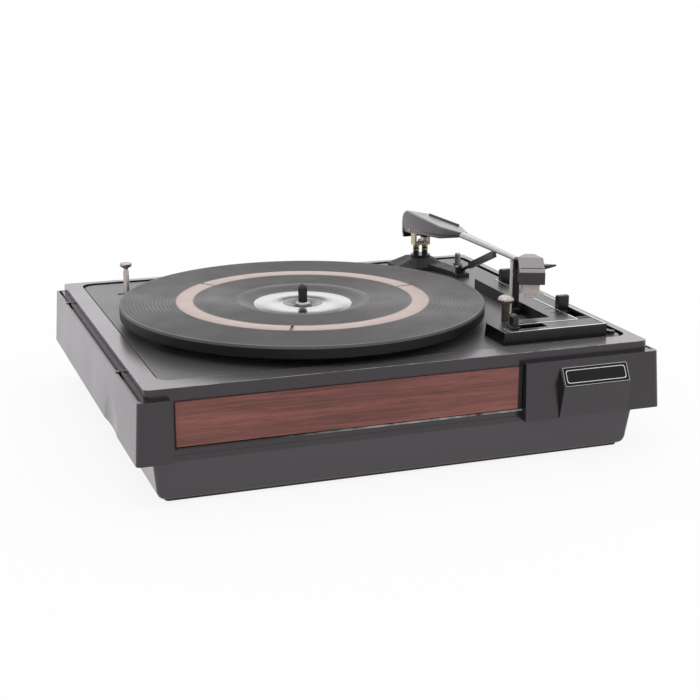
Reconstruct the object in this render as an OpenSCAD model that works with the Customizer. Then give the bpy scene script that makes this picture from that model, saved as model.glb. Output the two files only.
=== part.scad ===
// Automatic record changer on a moulded plinth.
// Millimetres, +X right, +Y back, +Z up. The origin is the centre of the footprint, on the table.

/* [Plinth] */
// Width of the plinth at its rim
plinth_w = 383; // [380:0.5:420]
// Depth of the plinth at its rim
plinth_d = 336.5; // [334:0.5:370]
// How much the skirt widens towards its lower edge, on each side
draft_x = 2.5; // [1:0.5:6]
// How much the skirt deepens towards its lower edge, at the front and the back
draft_y = 1.8; // [1:0.1:4]
// Height of the plinth's bottom above the table
foot_h = 4; // [3.5:0.1:8]
// Thickness of the bottom cover, which lies under the plinth's lower edge
cover_t = 2.4; // [2:0.1:3]
// Height of the skirt's lower edge above the plinth's bottom
skirt_lift = 28; // [24:0.5:34]
// Height of the skirt, from its lower edge to the rim
skirt_h = 42.5; // [40:0.5:50]
// Height of the lower base above the plinth's bottom, where it shows in the front recess
base_h = 30.7; // [30:0.1:33]
// Height of the raised deck above the rim
deck_rise = 6.8; // [5:0.1:9]
// Width of the rim ledge around the raised deck
ledge = 5.7; // [5.2:0.1:8]
// Wall thickness of the moulding
wall = 3; // [2.5:0.1:4]
// Thickness of the deck moulding around the unit plate
deck_t = 4; // [3:0.1:5]
// Set-in of the lower base from the rim at the left
base_in_left = 10; // [8:0.5:14]
// Set-in of the lower base from the rim at the right
base_in_right = 15.5; // [8:0.5:18]
// Set-in of the lower base from the rim at the front
base_in_front = 5.4; // [3:0.1:5.4]
// Set-in of the lower base from the rim at the back
base_in_back = 6; // [3:0.5:10]
// Further set-in of the lower base at its foot
base_taper = 2.3; // [1:0.1:4]
// Height above the plinth's bottom where the base's slope ends
base_line = 26.5; // [20:0.1:28]
// Width of the rounding under the base's left and right ends
base_round = 4.5; // [3:0.5:8]
// Corner radius of the plinth, seen from above
corner_r = 3; // [2:0.5:6]
// Height of the unit well's shelves, from the plinth's bottom to their tops
shelf_z = 46; // [40:0.5:52]
// Thickness of the shelves
shelf_t = 4; // [3:0.5:6]

/* [Front] */
// Left end of the front recess, from the plinth's centre
recess_left = 169.5; // [150:0.5:180]
// Right end of the front recess, from the plinth's centre
recess_right = 85; // [60:0.5:100]
// Height of the wood panel
wood_h = 30.8; // [26:0.1:33]
// Distance from the deck's top down to the wood panel
wood_drop = 9.6; // [8:0.1:12]
// Thickness of the wood panel
wood_t = 2.2; // [1.5:0.1:3]
// Dark strip between the recess and the wood panel's left end
wood_margin = 3.2; // [2:0.1:8]
// Width of the badge block
badge_w = 54; // [40:0.5:60]
// Distance from the badge block to the plinth's right end
badge_right = 26; // [20:0.5:40]
// How far the badge block stands out in front of the rim
badge_out = 8; // [6:0.1:12]
// Height of the badge block's top below the rim
badge_drop = 4.7; // [3:0.1:8]
// Height of the sloped badge face
badge_face_h = 14; // [11:0.1:18]
// Thickness of the badge plate
badge_t = 0.6; // [0.4:0.1:1]
// Bare margin around the badge plate
badge_margin = 1; // [0.5:0.1:3]

/* [Unit plate] */
// Deck band at the left of the unit plate
band_left = 14.8; // [13:0.1:20]
// Deck band at the right of the unit plate
band_right = 8.8; // [8:0.1:14]
// Deck band in front of the unit plate
band_front = 18.5; // [17:0.1:24]
// Deck band behind the unit plate
band_back = 9.5; // [9:0.1:14]
// Gap between the plate and the deck, left and front
seam = 1.4; // [1:0.1:2]
// Gap between the plate and the deck, right and back
seam_wide = 3; // [1.5:0.1:4]
// Thickness of the unit plate
plate_t = 1.5; // [1.2:0.1:2]
// Depth of the plate's turned-down edge
plate_lip = 7; // [5:0.5:10]
// How far the plate's top lies below the deck
plate_sink = 1; // [0.5:0.1:2]
// Corner radius of the plate
plate_r = 10; // [6:0.5:14]

/* [Platter] */
// Radius of the platter
platter_r = 139.7; // [136:0.1:142]
// Platter axis from the plate's left edge
platter_from_left = 141; // [139.5:0.5:146]
// Platter axis from the plate's front edge
platter_from_front = 129.5; // [127:0.5:134]
// Clear height under the platter's rim
platter_lift = 6.7; // [6:0.1:9]
// Height of the platter's rim
rim_h = 7.4; // [6.8:0.1:10]
// Thickness of the rim
rim_t = 3; // [2:0.1:4]
// Thickness of the platter's web
web_t = 2.4; // [2:0.1:2.6]
// Thickness of the rubber mat
mat_t = 2; // [1.5:0.1:3]
// Outer radius of the inlaid ring
ring_out = 97; // [90:0.5:105]
// Inner radius of the inlaid ring
ring_in = 84; // [75:0.5:88]
// Width of the gaps between the ring's segments
ring_gap = 2.4; // [1:0.1:5]
// Radius of the aluminium disc
disc_r = 38; // [32:0.5:44]
// Radius of the dished middle of the mat
dish_r = 48.5; // [46:0.5:56]
// Radius of the centre well
well_r = 15; // [13.6:0.2:20]
// Depth of the centre well below the mat's top
well_depth = 6; // [4.5:0.1:6.4]
// Radius of the spindle
spindle_r = 3.5; // [3.2:0.05:3.6]
// Height of the spindle above the mat
spindle_h = 11.6; // [9:0.1:30]
// Radius of the bearing post
post_r = 6; // [5.6:0.1:6.6]
// Radial clearance of running fits
run_fit = 0.05; // [0.03:0.01:0.08]
// Clearance between pieces that pass each other
pass_gap = 0.3; // [0.25:0.05:0.5]

/* [Drive] */
// Radius of the idler wheel
idler_r = 19; // [16:0.5:22]
// Thickness of the idler's tyre
idler_t = 3; // [2.4:0.1:3.4]
// Radius of the motor pulley's smallest step
pulley_r = 2.7; // [2.4:0.1:3.2]
// Width of the motor across its frame
motor_w = 56; // [48:1:60]
// Height of the motor's iron frame
motor_h = 22; // [16:0.5:26]
// Teeth of the pinion on the platter's hub
pinion_teeth = 16; // [14:1:18]
// Teeth of the cam gear
cam_teeth = 64; // [56:1:68]
// Gear module
gear_m = 1.5; // [1.4:0.1:1.6]
// Thickness of the gears
gear_t = 4; // [3:0.1:4.4]

/* [Tonearm] */
// Arm pivot from the plate's right edge
pivot_from_right = 48; // [44:0.5:54]
// Arm pivot from the plate's back edge
pivot_from_back = 22; // [20:0.5:28]
// Height of the arm tube's underside above the deck
tube_z = 42.6; // [40:0.1:50]
// Height of the arm tube at the housing
tube_h = 4.4; // [3.6:0.1:6]
// Width of the arm tube at the housing
tube_w = 7.2; // [6:0.1:9]
// Height of the arm tube at the head
tube_tip_h = 2.8; // [2.4:0.1:4]
// Width of the arm tube at the head
tube_tip_w = 4.6; // [4:0.1:6]
// Length of the rear housing in front of the pivot
housing_front = 92; // [84:1:100]
// Length of the rear housing behind the pivot
housing_back = 21; // [20:0.5:24]
// Width of the rear housing
housing_w = 22; // [21:0.5:26]
// Height of the rear housing's top above the arm tube's underside
housing_rise = 6.8; // [6.4:0.1:9]
// Height of the tilt pivot above the deck
tilt_z = 33; // [31.5:0.5:35]
// Distance from the arm pivot to the end of the tube
tube_end = 191; // [189:0.5:196]
// Turn of the head towards the spindle
head_turn = 23; // [18:0.5:26]
// Length of the head shell
head_len = 28; // [26:0.5:34]
// Width of the head shell
head_w = 19.4; // [17:0.1:21]
// Height of the head shell's front face
head_h = 9.4; // [8:0.1:11]
// Height of the cartridge below the head shell
cart_h = 11.5; // [10:0.1:12]
// Width of the cartridge
cart_w = 12.6; // [10:0.1:13]
// Height of the arm pedestal above the deck
pedestal_h = 8.5; // [6:0.1:10]

/* [Control panel] */
// Height of the control panel above the unit plate
panel_h = 9.4; // [8.4:0.1:12]
// Panel's right wall from the plate's right edge
panel_right = 12; // [10.5:0.1:16]
// Panel's front wall from the plate's front edge
panel_front = 4.8; // [1:0.1:6]
// Width of the panel's right arm
panel_arm_w = 31; // [29:0.5:33]
// Depth of the panel's front arm
panel_arm_d = 32.4; // [30:0.1:36]
// Length of the panel's right arm
panel_len = 170; // [165:1:180]
// Narrowing of the right arm at its back end
panel_taper = 2.5; // [0:0.5:5]
// Length of the panel's front arm along its top
panel_run = 83; // [80:1:95]
// Slope of the panel's left end
panel_slope = 1; // [0.5:0.5:14]
// Wall of the panel
panel_t = 1.8; // [1.5:0.1:2.4]
// Width of the control slots
slot_w = 9.6; // [8:0.1:10]
// Height of the knobs above the panel
knob_h = 10; // [8:0.1:14]
// Thickness of the knobs along their travel
knob_t = 6; // [5:0.1:8]
// Travel of the function knob
function_travel = 22; // [15:0.5:26]
// Travel of the speed knob
speed_travel = 26; // [15:0.5:26]
// Travel of the cue knob
cue_travel = 20; // [12:0.5:24]

/* [Suspension] */
// Mean radius of the suspension springs
spring_r = 9; // [8:0.1:10.5]
// Wire radius of the suspension springs
wire_r = 0.7; // [0.5:0.05:0.9]
// Curls of each suspension spring
curls = 6; // [4:1:8]

/* [Hidden] */
$fn = 48;

black = "#2d2b2d";
soft_black = "#1c1b1c";
nickel = "#b9b4aa";
steel = "#8d9094";
eps = 0.01;

// Levels
z_base = foot_h;
z_skirt = z_base + skirt_lift;
z_base_top = z_base + base_h;
z_rim = z_skirt + skirt_h;
z_deck = z_rim + deck_rise;
z_plate = z_deck - plate_sink;
z_under = z_plate - plate_t;
z_shelf = z_base + shelf_z;

// Plan of the plinth; the badge block stands out in front, so the plinth sits a little behind the origin
half_w = plinth_w / 2;
half_d = plinth_d / 2;
outlet_z = z_skirt + 16;
grommet_out = 1.8;
grommet_reach = 6.6;
rear_out = draft_y * (z_rim - outlet_z) / skirt_h + grommet_out;
plinth_y = (badge_out - rear_out) / 2;
deck_x = half_w - ledge;
deck_y = half_d - ledge;
plate_x0 = -deck_x + band_left;
plate_x1 = deck_x - band_right;
plate_y0 = -deck_y + band_front;
plate_y1 = deck_y - band_back;
groove_w = 2;
groove_d = 2.2;
lug_y = [120, -92];
lug_r = 2.1;
lug_rise = 0.8;
cavity_front = deck_y - wall;

// Inside of the base, which the bottom cover closes
base_wall = wall + 0.5;
base_steps = 4;
base_round_h = 7;
cover_lap = 1.8;
well_x0 = -half_w + base_in_left + base_taper + base_round + base_wall;
well_x1 = half_w - base_in_right - base_taper - base_round - base_wall;
well_y0 = -half_d + base_in_front + base_taper + base_wall + 1.5;
well_y1 = half_d - base_in_back - base_taper - base_wall - 1.5;
cover_z = z_base - cover_t;
screw_inset = 12;
screw_pos = [
    [well_x0 + screw_inset, well_y0 + screw_inset], [well_x1 - screw_inset, well_y0 + screw_inset],
    [well_x0 + screw_inset, well_y1 - screw_inset], [well_x1 - screw_inset, well_y1 - screw_inset]
];
screw_r = 1.75;
screw_play = 0.25;
screw_head_h = 1.1;
screw_len = 10;
boss_r = 4.5;
foot_r = 10;
foot_inset = 28;
foot_bevel = 0.5;
vent_count = 6;
vent_step = 24;
vent_w = 5;
vent_len = 60;

// Finger scoops in the two side walls
scoop_depth = 1.6;
scoop_half = 27;
scoop_r = (scoop_half * scoop_half + scoop_depth * scoop_depth) / (2 * scoop_depth);
scoop_out = scoop_r - scoop_depth;
scoop_y = -81.5;
scoop_back = 5;
scoop_lip = 2;
scoop_sides = 180;

// Cord outlets in the back wall
outlet_x = [-114, -90];
outlet_r = 6;
outlet_play = 0.15;
cord_r = 3;

// Platter stack
axis_x = plate_x0 + platter_from_left;
axis_y = plate_y0 + platter_from_front;
z_rim0 = z_plate + platter_lift;
z_web1 = z_rim0 + rim_h;
z_web0 = z_web1 - web_t;
z_mat = z_web1 + mat_t;
z_well = z_mat - well_depth;
z_well0 = z_well - web_t;
rim_in = platter_r - rim_t;
hub_r = 9;
ring_t = 0.9;
disc_t = 1;
dish_t = 0.9;
dish_slope = 3;
inlay = 0.8;
well_t = 2;
rim_bevel = 0.8;
mat_r = platter_r - 0.3;
mat_bevel = 0.6;
hub_gap = ring_t + pass_gap;
z_hub0 = z_plate + hub_gap;
ring_turn = 9;
press = 0.02;
seat_gap = 0.1;
spindle_tail = 18;
shank_r = spindle_r - 0.2;
post_flange = 6;
post_flange_t = 2.4;
z_post = z_well + 1.2;

// Drive train inside the platter's rim
idler_x = axis_x - (rim_in - pass_gap - idler_r);
idler_y = axis_y;
pulley_turn = 20;
pulley_reach = idler_r + pulley_r + pass_gap;
motor_x = idler_x + pulley_reach * cos(pulley_turn);
motor_y = idler_y + pulley_reach * sin(pulley_turn);
idler_lift = 0.5;
z_idler = z_rim0 + idler_lift;
stud_r = 2;
collar_r = stud_r + 2.5;
wheel_boss = 0.6;
bracket_len = 32;
bracket_t = 1.5;
rivet_r = 3.2;
rivet_in = 6;
rivet_h = 1.6;
tyre_t = 4;
z_pulley = z_plate + 1.2;
shaft_r = 1.6;
coil_over = 3.6;
nut_h = 2.7;
stud_tip = 0.5;
bridge_t = 2;
bridge_w = 12;
bridge_gap = coil_over + pass_gap + stud_tip + nut_h;
grommet_h = 3;
z_motor = z_under - grommet_h - bridge_t - bridge_gap;
rotor_r = 12;
air_gap = 0.5;
motor_stud = 21;
motor_turns = [20, 140, 260];
stud_hole_r = 2;
grommet_r = 5;
coil_in = 2;
coil_w = 6;
coil_len = motor_w - 18;
coil_play = 0.2;

// Gears
pinion_r = pinion_teeth * gear_m / 2;
cam_r = cam_teeth * gear_m / 2;
gear_play = 0.25;
cam_turn = 45;
cam_reach = pinion_r + cam_r + gear_play;
cam_x = axis_x + cam_reach * cos(cam_turn);
cam_y = axis_y + cam_reach * sin(cam_turn);
z_gear = z_hub0 + 0.2;
cam_stud_r = 3;

// Tonearm; lengths run forwards from the pivot, which is towards -Y
pivot_x = plate_x1 - pivot_from_right;
pivot_y = plate_y1 - pivot_from_back;
z_tube = z_deck + tube_z;
z_tilt = z_deck + tilt_z;
z_pedestal = z_deck + pedestal_h;
pedestal_left = 26;
pedestal_right = 18;
pedestal_front = 19;
pedestal_back = 14;
pedestal_cut_x = 14;
pedestal_cut_y = 10;
pedestal_corner = 4;
pedestal_toe = 3;
pedestal_top = 10;
pedestal_bevel = 4;
foot_lap = 4;
foot_rise = 5.5;
arm_shaft_r = 4;
arm_shaft_tail = 24;
turret_r = 8.6;
turret_t = 2;
collar_t = 6;
pillar_r = 2.6;
pillar_gap = 4.2;
yoke_base_z = z_tilt - 13.5;
yoke_t = 2;
yoke_w = 15;
yoke_d = 9;
pin_r = 1.2;
shell_t = 1.6;
housing_crease = 65;
house_fall = 1.8;
crease_drop = 5.4;
rear_fall = 3.9;
crease_fall = 0.9;
hook_h = 5.5;
house_bevel = 1.5;
cavity_back = 10;
cavity_front_gap = 2;
cavity_drop = 9;
ridge_in = 4;
ridge_w = 1.6;
ridge_start = 2;
ridge_rise = 1.7;
ridge_h = 2.6;
weight_start = 16;
weight_len = 26;
weight_h = 8;
tube_bevel = 0.8;
head_x = pivot_x + 9.8;
head_gap = 0.2;
head_y = pivot_y - tube_end - head_w / 2 * sin(head_turn) - head_gap;
z_head = z_tube - 12.8;
head_rear = 7.5;
stylus_h = 1.8;
stylus_back = 7;
cart_back = 6;
weight_gap = 1.6;

// Arm rest, under the tube just behind the head
rest_back = 4.5;
rest_x = pivot_x + 1.6;
rest_y = pivot_y - tube_end + rest_back;
rest_w = 5.4;
rest_d = 5.6;
clip_t = 1.2;
clip_w = 3.6;

// Control panel
panel_x1 = plate_x1 - panel_right;
panel_x0 = panel_x1 - panel_arm_w;
panel_y0 = plate_y0 + panel_front;
panel_y1 = panel_y0 + panel_arm_d;
panel_y2 = panel_y0 + panel_len;
panel_left = panel_x1 - panel_run;
z_panel = z_plate + panel_h;
slot_edge = 2.8;
speed_x = panel_x1 - slot_edge - slot_w / 2;
speed_y = panel_y0 + 55.9;
function_x = panel_left + 13;
function_y = panel_y0 + 13;
cue_x = speed_x;
cue_y = panel_y2 - 14.5;
panel_screw_r = 1.6;
panel_screw_pos = [
    [panel_x0 + 8, panel_y2 - 8], [panel_x0 + 8, panel_y1 + 6], [panel_left + 6, panel_y1 - 8]
];
knob_fit = 0.3;
shoe_t = 1.6;
shoe_w = slot_w + 1.4;
grip_t = 4.4;
grip_w = 6.4;
grip_step = 1;
shoe_z = z_panel - panel_t - pass_gap - shoe_t;
switch_w = 20;
switch_d = 10;
switch_h = 16;
switch_x = function_x + 16;
switch_y = function_y - switch_d / 2;
trim_w = 0.9;
trim_t = 0.35;
trim_edge = 1;
trim_off = 1.9;
trim_cue_off = 1;
trim_left = 5;
trim_back = 98;
trim_inner_run = 34;
trim_cue_run = 8;
trim_cue_start = 6;
lever_x = panel_x1 - 7;
lever_y = panel_y0 + 20;
lever_t = 2.4;
lever_lift = 0.6;
lever_slot = 15.5;
lever_len = 21;
lever_turn = -52;
lever_pin_r = 2;
lever_w = 5;

// Size feeler beside the arm
feeler_x = pivot_x + 17;
feeler_y = pivot_y - 50;
feeler_pin_r = 2;
feeler_z = z_plate + 4;
feeler_hub = 5;
feeler_foot = 6;
feeler_yaw = -97;
feeler_rise = 20;
feeler_len = 95;
feeler_thin = 28;

// Transit screws
screw_left = [plate_x0 + 29.5, plate_y1 - 39.6];
transit_left_r = 2.4;
transit_left_head = 4.8;
transit_right_r = 3;
transit_right_head = 6.1;
transit_head_h = 5;
transit_tail = 22;
keeper_h = 3;
keeper_over = 1.6;
screw_gap = 10.3;
screw_turn = -31.7;
screw_reach = platter_r + screw_gap + transit_right_head;
screw_right = [axis_x + screw_reach * cos(screw_turn), axis_y + screw_reach * sin(screw_turn)];
transit_left_h = 26;
transit_right_h = 26.6;
keyhole = 6;
keyhole_r = 2;

// Suspension springs; one surrounds the left transit screw
spring_pos = [
    screw_left, [plate_x0 + 20, plate_y0 + 24], [plate_x1 - 24, plate_y1 - 22], [plate_x1 - 26, plate_y0 + 24]
];
spring_ledge = 1.5;
shelf_margin = 3;
spring_sides = 6;
spring_rings = 8;

overarm_pos = [plate_x1 - 12.5, plate_y1 - 25.1];

// Points of a rectangle with round corners, anticlockwise
function round_rect(x0, x1, y0, y1, r, n = 5) = [
    for (c = [[x1 - r, y0 + r, -90], [x1 - r, y1 - r, 0], [x0 + r, y1 - r, 90], [x0 + r, y0 + r, 180]])
        for (i = [0 : n])
            [c[0] + r * cos(c[2] + 90 * i / n), c[1] + r * sin(c[2] + 90 * i / n)]
];

// Toothed outline of a gear with straight flanks, one tooth centred on the angle given
function gear_points(teeth, m, turn) = let (
    r = teeth * m / 2,
    step = 360 / teeth,
    tip = r + 0.9 * m,
    root = r - 1.15 * m
) [
    for (i = [0 : teeth - 1])
        for (p = [[root, -0.29], [tip, -0.11], [tip, 0.11], [root, 0.29]])
            [p[0] * cos(turn + step * (i + p[1])), p[0] * sin(turn + step * (i + p[1]))]
];

// Ring of points around a point of a helix about a vertical axis
function coil_ring(a, r, z, w) = [
    for (k = [0 : spring_sides - 1])
        let (t = -360 * k / spring_sides)
            [(r + w * cos(t)) * cos(a), (r + w * cos(t)) * sin(a), z + w * sin(t)]
];

// Moves a shape from the plinth's centre to the part's frame
module place() {
    translate([0, plinth_y, 0]) children();
}

module prism(points, z0, z1) {
    translate([0, 0, z0]) linear_extrude(z1 - z0) polygon(points);
}

// Outline in Y and Z, extruded along X
module side_prism(points, x0, x1) {
    translate([x0, 0, 0]) rotate([90, 0, 90]) linear_extrude(x1 - x0) polygon(points);
}

// Outline in X and Z, extruded along Y
module front_prism(points, y0, y1) {
    translate([0, y1, 0]) rotate([90, 0, 0]) linear_extrude(y1 - y0) polygon(points);
}

module tube(r_out, r_in, z0, z1) {
    difference() {
        translate([0, 0, z0]) cylinder(r = r_out, h = z1 - z0);
        translate([0, 0, z0 - 1]) cylinder(r = r_in, h = z1 - z0 + 2);
    }
}

// Closed skin over a row of outlines with equally many points, each anticlockwise seen from the end
module skin(rows) {
    n = len(rows[0]);
    m = len(rows);
    polyhedron(
        points = [for (row = rows) for (p = row) p],
        faces = concat(
            [[for (i = [0 : n - 1]) i]],
            [[for (i = [n - 1 : -1 : 0]) (m - 1) * n + i]],
            [for (j = [0 : m - 2]) for (i = [0 : n - 1])
                [j * n + i, (j + 1) * n + i, (j + 1) * n + (i + 1) % n]],
            [for (j = [0 : m - 2]) for (i = [0 : n - 1])
                [j * n + i, (j + 1) * n + (i + 1) % n, j * n + (i + 1) % n]]
        )
    );
}

function at_z(points, z) = [for (p = points) [p[0], p[1], z]];

// Drafted block between two outlines
module loft(low, z0, high, z1) {
    skin([at_z(low, z0), at_z(high, z1)]);
}

function base_outline(more_x, more_y) = round_rect(
    -half_w + base_in_left + more_x, half_w - base_in_right - more_x,
    -half_d + base_in_front + more_y, half_d - base_in_back - more_y, corner_r
);

module skirt_solid() {
    loft(
        round_rect(-half_w - draft_x, half_w + draft_x, -half_d - draft_y, half_d + draft_y, corner_r),
        z_skirt,
        round_rect(-half_w, half_w, -half_d, half_d, corner_r),
        z_rim
    );
}

module skirt_cavity() {
    low_x = half_w + draft_x - wall;
    loft(
        round_rect(-low_x, low_x, -cavity_front, half_d + draft_y - wall, corner_r),
        z_skirt + wall,
        round_rect(-deck_x + wall, deck_x - wall, -cavity_front, deck_y - wall, corner_r),
        z_deck - deck_t
    );
}

// Lower base: rounded under its ends, sloped up to a line, upright above it
module base_solid() {
    skin([
        for (i = [0 : base_steps])
            let (
                a = 90 * i / base_steps,
                in = 1 - sin(a)
            )
                at_z(
                    base_outline(base_taper + base_round * in, base_taper + in),
                    z_base + base_round_h * (1 - cos(a))
                ),
        at_z(base_outline(0, 0), z_base + base_line),
        at_z(base_outline(0, 0), z_base_top)
    ]);
}

// Sphere that hollows a side wall for the fingers
module scoop(side) {
    translate([
        side * (half_w + draft_x + scoop_out), scoop_y, z_skirt + scoop_out * draft_x / skirt_h
    ]) sphere(r = scoop_r, $fn = scoop_sides);
}

module scoop_backing(side) {
    x0 = half_w + draft_x - scoop_back;
    reach = scoop_half + scoop_lip;
    intersection() {
        skirt_solid();
        translate([side > 0 ? x0 : -x0 - scoop_back, scoop_y - reach, z_skirt])
            cube([scoop_back, 2 * reach, reach]);
    }
}

// Shelf in a corner of the well that carries a spring, with a boss for a cover screw
module shelf(spring, boss) {
    sx = sign(spring[0]);
    sy = sign(spring[1]);
    reach = spring_r + wire_r + shelf_margin;
    x_in = min(abs(spring[0]), abs(boss[0]) + boss_r) - reach;
    y_in = min(abs(spring[1]), abs(boss[1]) + boss_r) - reach;
    x_out = half_w - 1;
    y_out = sy < 0 ? cavity_front + 1 : half_d - 1;
    difference() {
        union() {
            translate([sx > 0 ? x_in : -x_out, sy > 0 ? y_in : -y_out, z_shelf - shelf_t])
                cube([x_out - x_in, y_out - y_in, shelf_t]);
            translate([boss[0], boss[1], z_base]) cylinder(r = boss_r, h = z_shelf - z_base);
        }
        translate([boss[0], boss[1], z_base - 1]) cylinder(r = screw_r, h = screw_len + 3);
        translate([spring[0], spring[1], z_shelf - shelf_t - 1])
            cylinder(r = spring_r - wire_r - spring_ledge, h = shelf_t + 2);
    }
}

module plinth_shell() color(black) place() {
    difference() {
        union() {
            difference() {
                union() {
                    difference() {
                        skirt_solid();
                        translate([-recess_left, -half_d - draft_y - 1, z_skirt - 1])
                            cube([recess_left + recess_right, half_d + draft_y + 1 - deck_y, skirt_h + 2]);
                    }
                    prism(round_rect(-deck_x, deck_x, -deck_y, deck_y, corner_r + 1), z_rim - 1, z_deck);
                    base_solid();
                }
                skirt_cavity();
                prism(
                    round_rect(well_x0, well_x1, well_y0, well_y1, corner_r),
                    z_base - 1, z_skirt + wall + 1
                );
                prism(
                    round_rect(
                        plate_x0 - seam, plate_x1 + seam_wide, plate_y0 - seam, plate_y1 + seam_wide, plate_r
                    ),
                    z_deck - deck_t - 1, z_deck + 1
                );
                for (side = [-1, 1])
                    translate([side * (deck_x + ledge / 2) - groove_w / 2, -deck_y, z_rim - groove_d])
                        cube([groove_w, deck_y + half_d - ledge / 2 + groove_w / 2, groove_d + 1]);
                translate([-deck_x - ledge / 2, half_d - ledge / 2 - groove_w / 2, z_rim - groove_d])
                    cube([2 * deck_x + ledge, groove_w, groove_d + 1]);
            }
            for (side = [-1, 1]) {
                scoop_backing(side);
                for (y = lug_y)
                    translate([side * (deck_x + ledge / 2), y, z_rim - groove_d])
                        cylinder(r = lug_r, h = groove_d + lug_rise);
            }
            shelf(spring_pos[0], screw_pos[2]);
            shelf(spring_pos[1], screw_pos[0]);
            shelf(spring_pos[2], screw_pos[3]);
            shelf(spring_pos[3], screw_pos[1]);
        }
        for (side = [-1, 1]) scoop(side);
        for (x = outlet_x)
            translate([x, half_d + draft_y + 5, outlet_z]) rotate([90, 0, 0]) cylinder(r = outlet_r, h = 20);
    }
}

module bottom_cover() color("#6b5a48") place() difference() {
    prism(
        round_rect(
            well_x0 - cover_lap, well_x1 + cover_lap, well_y0 - cover_lap, well_y1 + cover_lap, corner_r
        ),
        cover_z, z_base
    );
    for (p = screw_pos)
        translate([p[0], p[1], cover_z - 1]) cylinder(r = screw_r + screw_play, h = cover_t + 2);
    for (i = [0 : vent_count - 1])
        translate([(i - (vent_count - 1) / 2) * vent_step - vent_w / 2, -vent_len / 2, cover_z - 1])
            cube([vent_w, vent_len, cover_t + 2]);
}

module feet() color(soft_black) place() {
    for (x = [well_x0 + foot_inset, well_x1 - foot_inset])
        for (y = [well_y0 + foot_inset, well_y1 - foot_inset])
            translate([x, y, 0]) {
                cylinder(r1 = foot_r - foot_bevel, r2 = foot_r, h = foot_bevel);
                translate([0, 0, foot_bevel]) cylinder(r = foot_r, h = cover_z - foot_bevel);
            }
}

module cover_screws() color(steel) place() {
    for (p = screw_pos) translate([p[0], p[1], cover_z - screw_head_h]) {
        cylinder(r = 2 * screw_r, h = screw_head_h);
        translate([0, 0, screw_head_h]) cylinder(r = screw_r - press, h = cover_t + screw_len);
    }
}

module wood_panel() color("#6e4137") place() {
    translate([-recess_left + wood_margin, -deck_y - wood_t, z_deck - wood_drop - wood_h])
        cube([recess_left + recess_right - wood_margin - 0.4, wood_t, wood_h]);
}

// Outline of the badge block in Y and Z, against the drafted front wall
badge_top = z_rim - badge_drop;
badge_tip = badge_top - badge_face_h;
badge_x1 = half_w - badge_right;
badge_x0 = badge_x1 - badge_w;
function front_wall(z) = -half_d - draft_y * (z_rim - z) / skirt_h;

module badge_block() color(black) place() {
    side_prism([
        [front_wall(badge_top), badge_top], [-half_d - badge_out, badge_tip],
        [front_wall(z_skirt) - 0.6, z_skirt], [front_wall(z_skirt), z_skirt]
    ], badge_x0, badge_x1);
}

badge_run = norm([badge_out + half_d + front_wall(badge_top), badge_face_h]);
badge_lean = atan2(badge_face_h, badge_out + half_d + front_wall(badge_top));

module badge_plate() color("#111113") place() {
    translate([badge_x0, -half_d - badge_out, badge_tip]) rotate([badge_lean, 0, 0])
        translate([badge_margin, badge_margin, 0])
            cube([badge_w - 2 * badge_margin, badge_run - 2 * badge_margin, badge_t]);
}

// Rubber bushes that line the two cord outlets
module cord_grommets() color(soft_black) place() {
    lip_t = 1.1;
    outer_r = outlet_r + 2;
    inner_r = outlet_r + 1.6;
    neck_r = outlet_r - outlet_play;
    inside = grommet_out + grommet_reach;
    for (x = outlet_x)
        translate([x, half_d + rear_out, outlet_z]) rotate([90, 0, 0]) rotate_extrude() polygon([
            [cord_r, 0], [outer_r, 0], [outer_r, lip_t], [neck_r, lip_t],
            [neck_r, inside], [inner_r, inside], [inner_r, inside + lip_t], [cord_r, inside + lip_t]
        ]);
}

// One helical spring from the shelf to the plate; its ends run level for a quarter turn
spring_z0 = z_shelf + wire_r;
spring_z1 = z_under - wire_r;
spring_steps = curls * spring_rings;
function coil_rise(i) = let (t = i / spring_steps) spring_z0 + (spring_z1 - spring_z0) * t;
coil_points = [
    for (i = [0 : spring_steps])
        [spring_r * cos(360 * i / spring_rings), spring_r * sin(360 * i / spring_rings), coil_rise(i)]
];
coil_gap = min([
    for (i = [0 : spring_steps])
        for (j = [i + spring_rings / 2 : spring_steps])
            norm(coil_points[i] - coil_points[j]) - 2 * wire_r
]);

module spring() {
    skin([
        for (i = [0 : spring_steps])
            coil_ring(360 * i / spring_rings, spring_r, coil_rise(i), wire_r - 0.04)
    ]);
}

module suspension_springs() color(steel) place() {
    echo(least_gap_in_spring = coil_gap);
    for (p = spring_pos) translate([p[0], p[1], 0]) spring();
}

module plate_holes() {
    cut = plate_t + 4;
    z = z_under - 2;
    translate([axis_x, axis_y, z]) cylinder(r = post_r + press, h = cut);
    translate([motor_x, motor_y, z]) cylinder(r = 8, h = cut);
    at_motor_studs() translate([0, 0, z]) cylinder(r = stud_hole_r, h = cut);
    for (p = panel_screw_pos) translate([p[0], p[1], z]) cylinder(r = panel_screw_r + screw_play, h = cut);
    translate([pivot_x, pivot_y, z]) cylinder(r = arm_shaft_r + 2, h = cut);
    for (hole = [[screw_left, transit_left_r], [screw_right, transit_right_r]])
        translate([hole[0][0], hole[0][1], z]) {
            cylinder(r = hole[1] + pass_gap, h = cut);
            translate([-keyhole, 0, 0]) cylinder(r = keyhole_r, h = cut);
            translate([-keyhole, -keyhole_r, 0]) cube([keyhole, 2 * keyhole_r, cut]);
        }
}

// Outline of the unit plate, drawn in by d
function plate_outline(d) = round_rect(plate_x0 + d, plate_x1 - d, plate_y0 + d, plate_y1 - d, plate_r - d);

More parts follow.
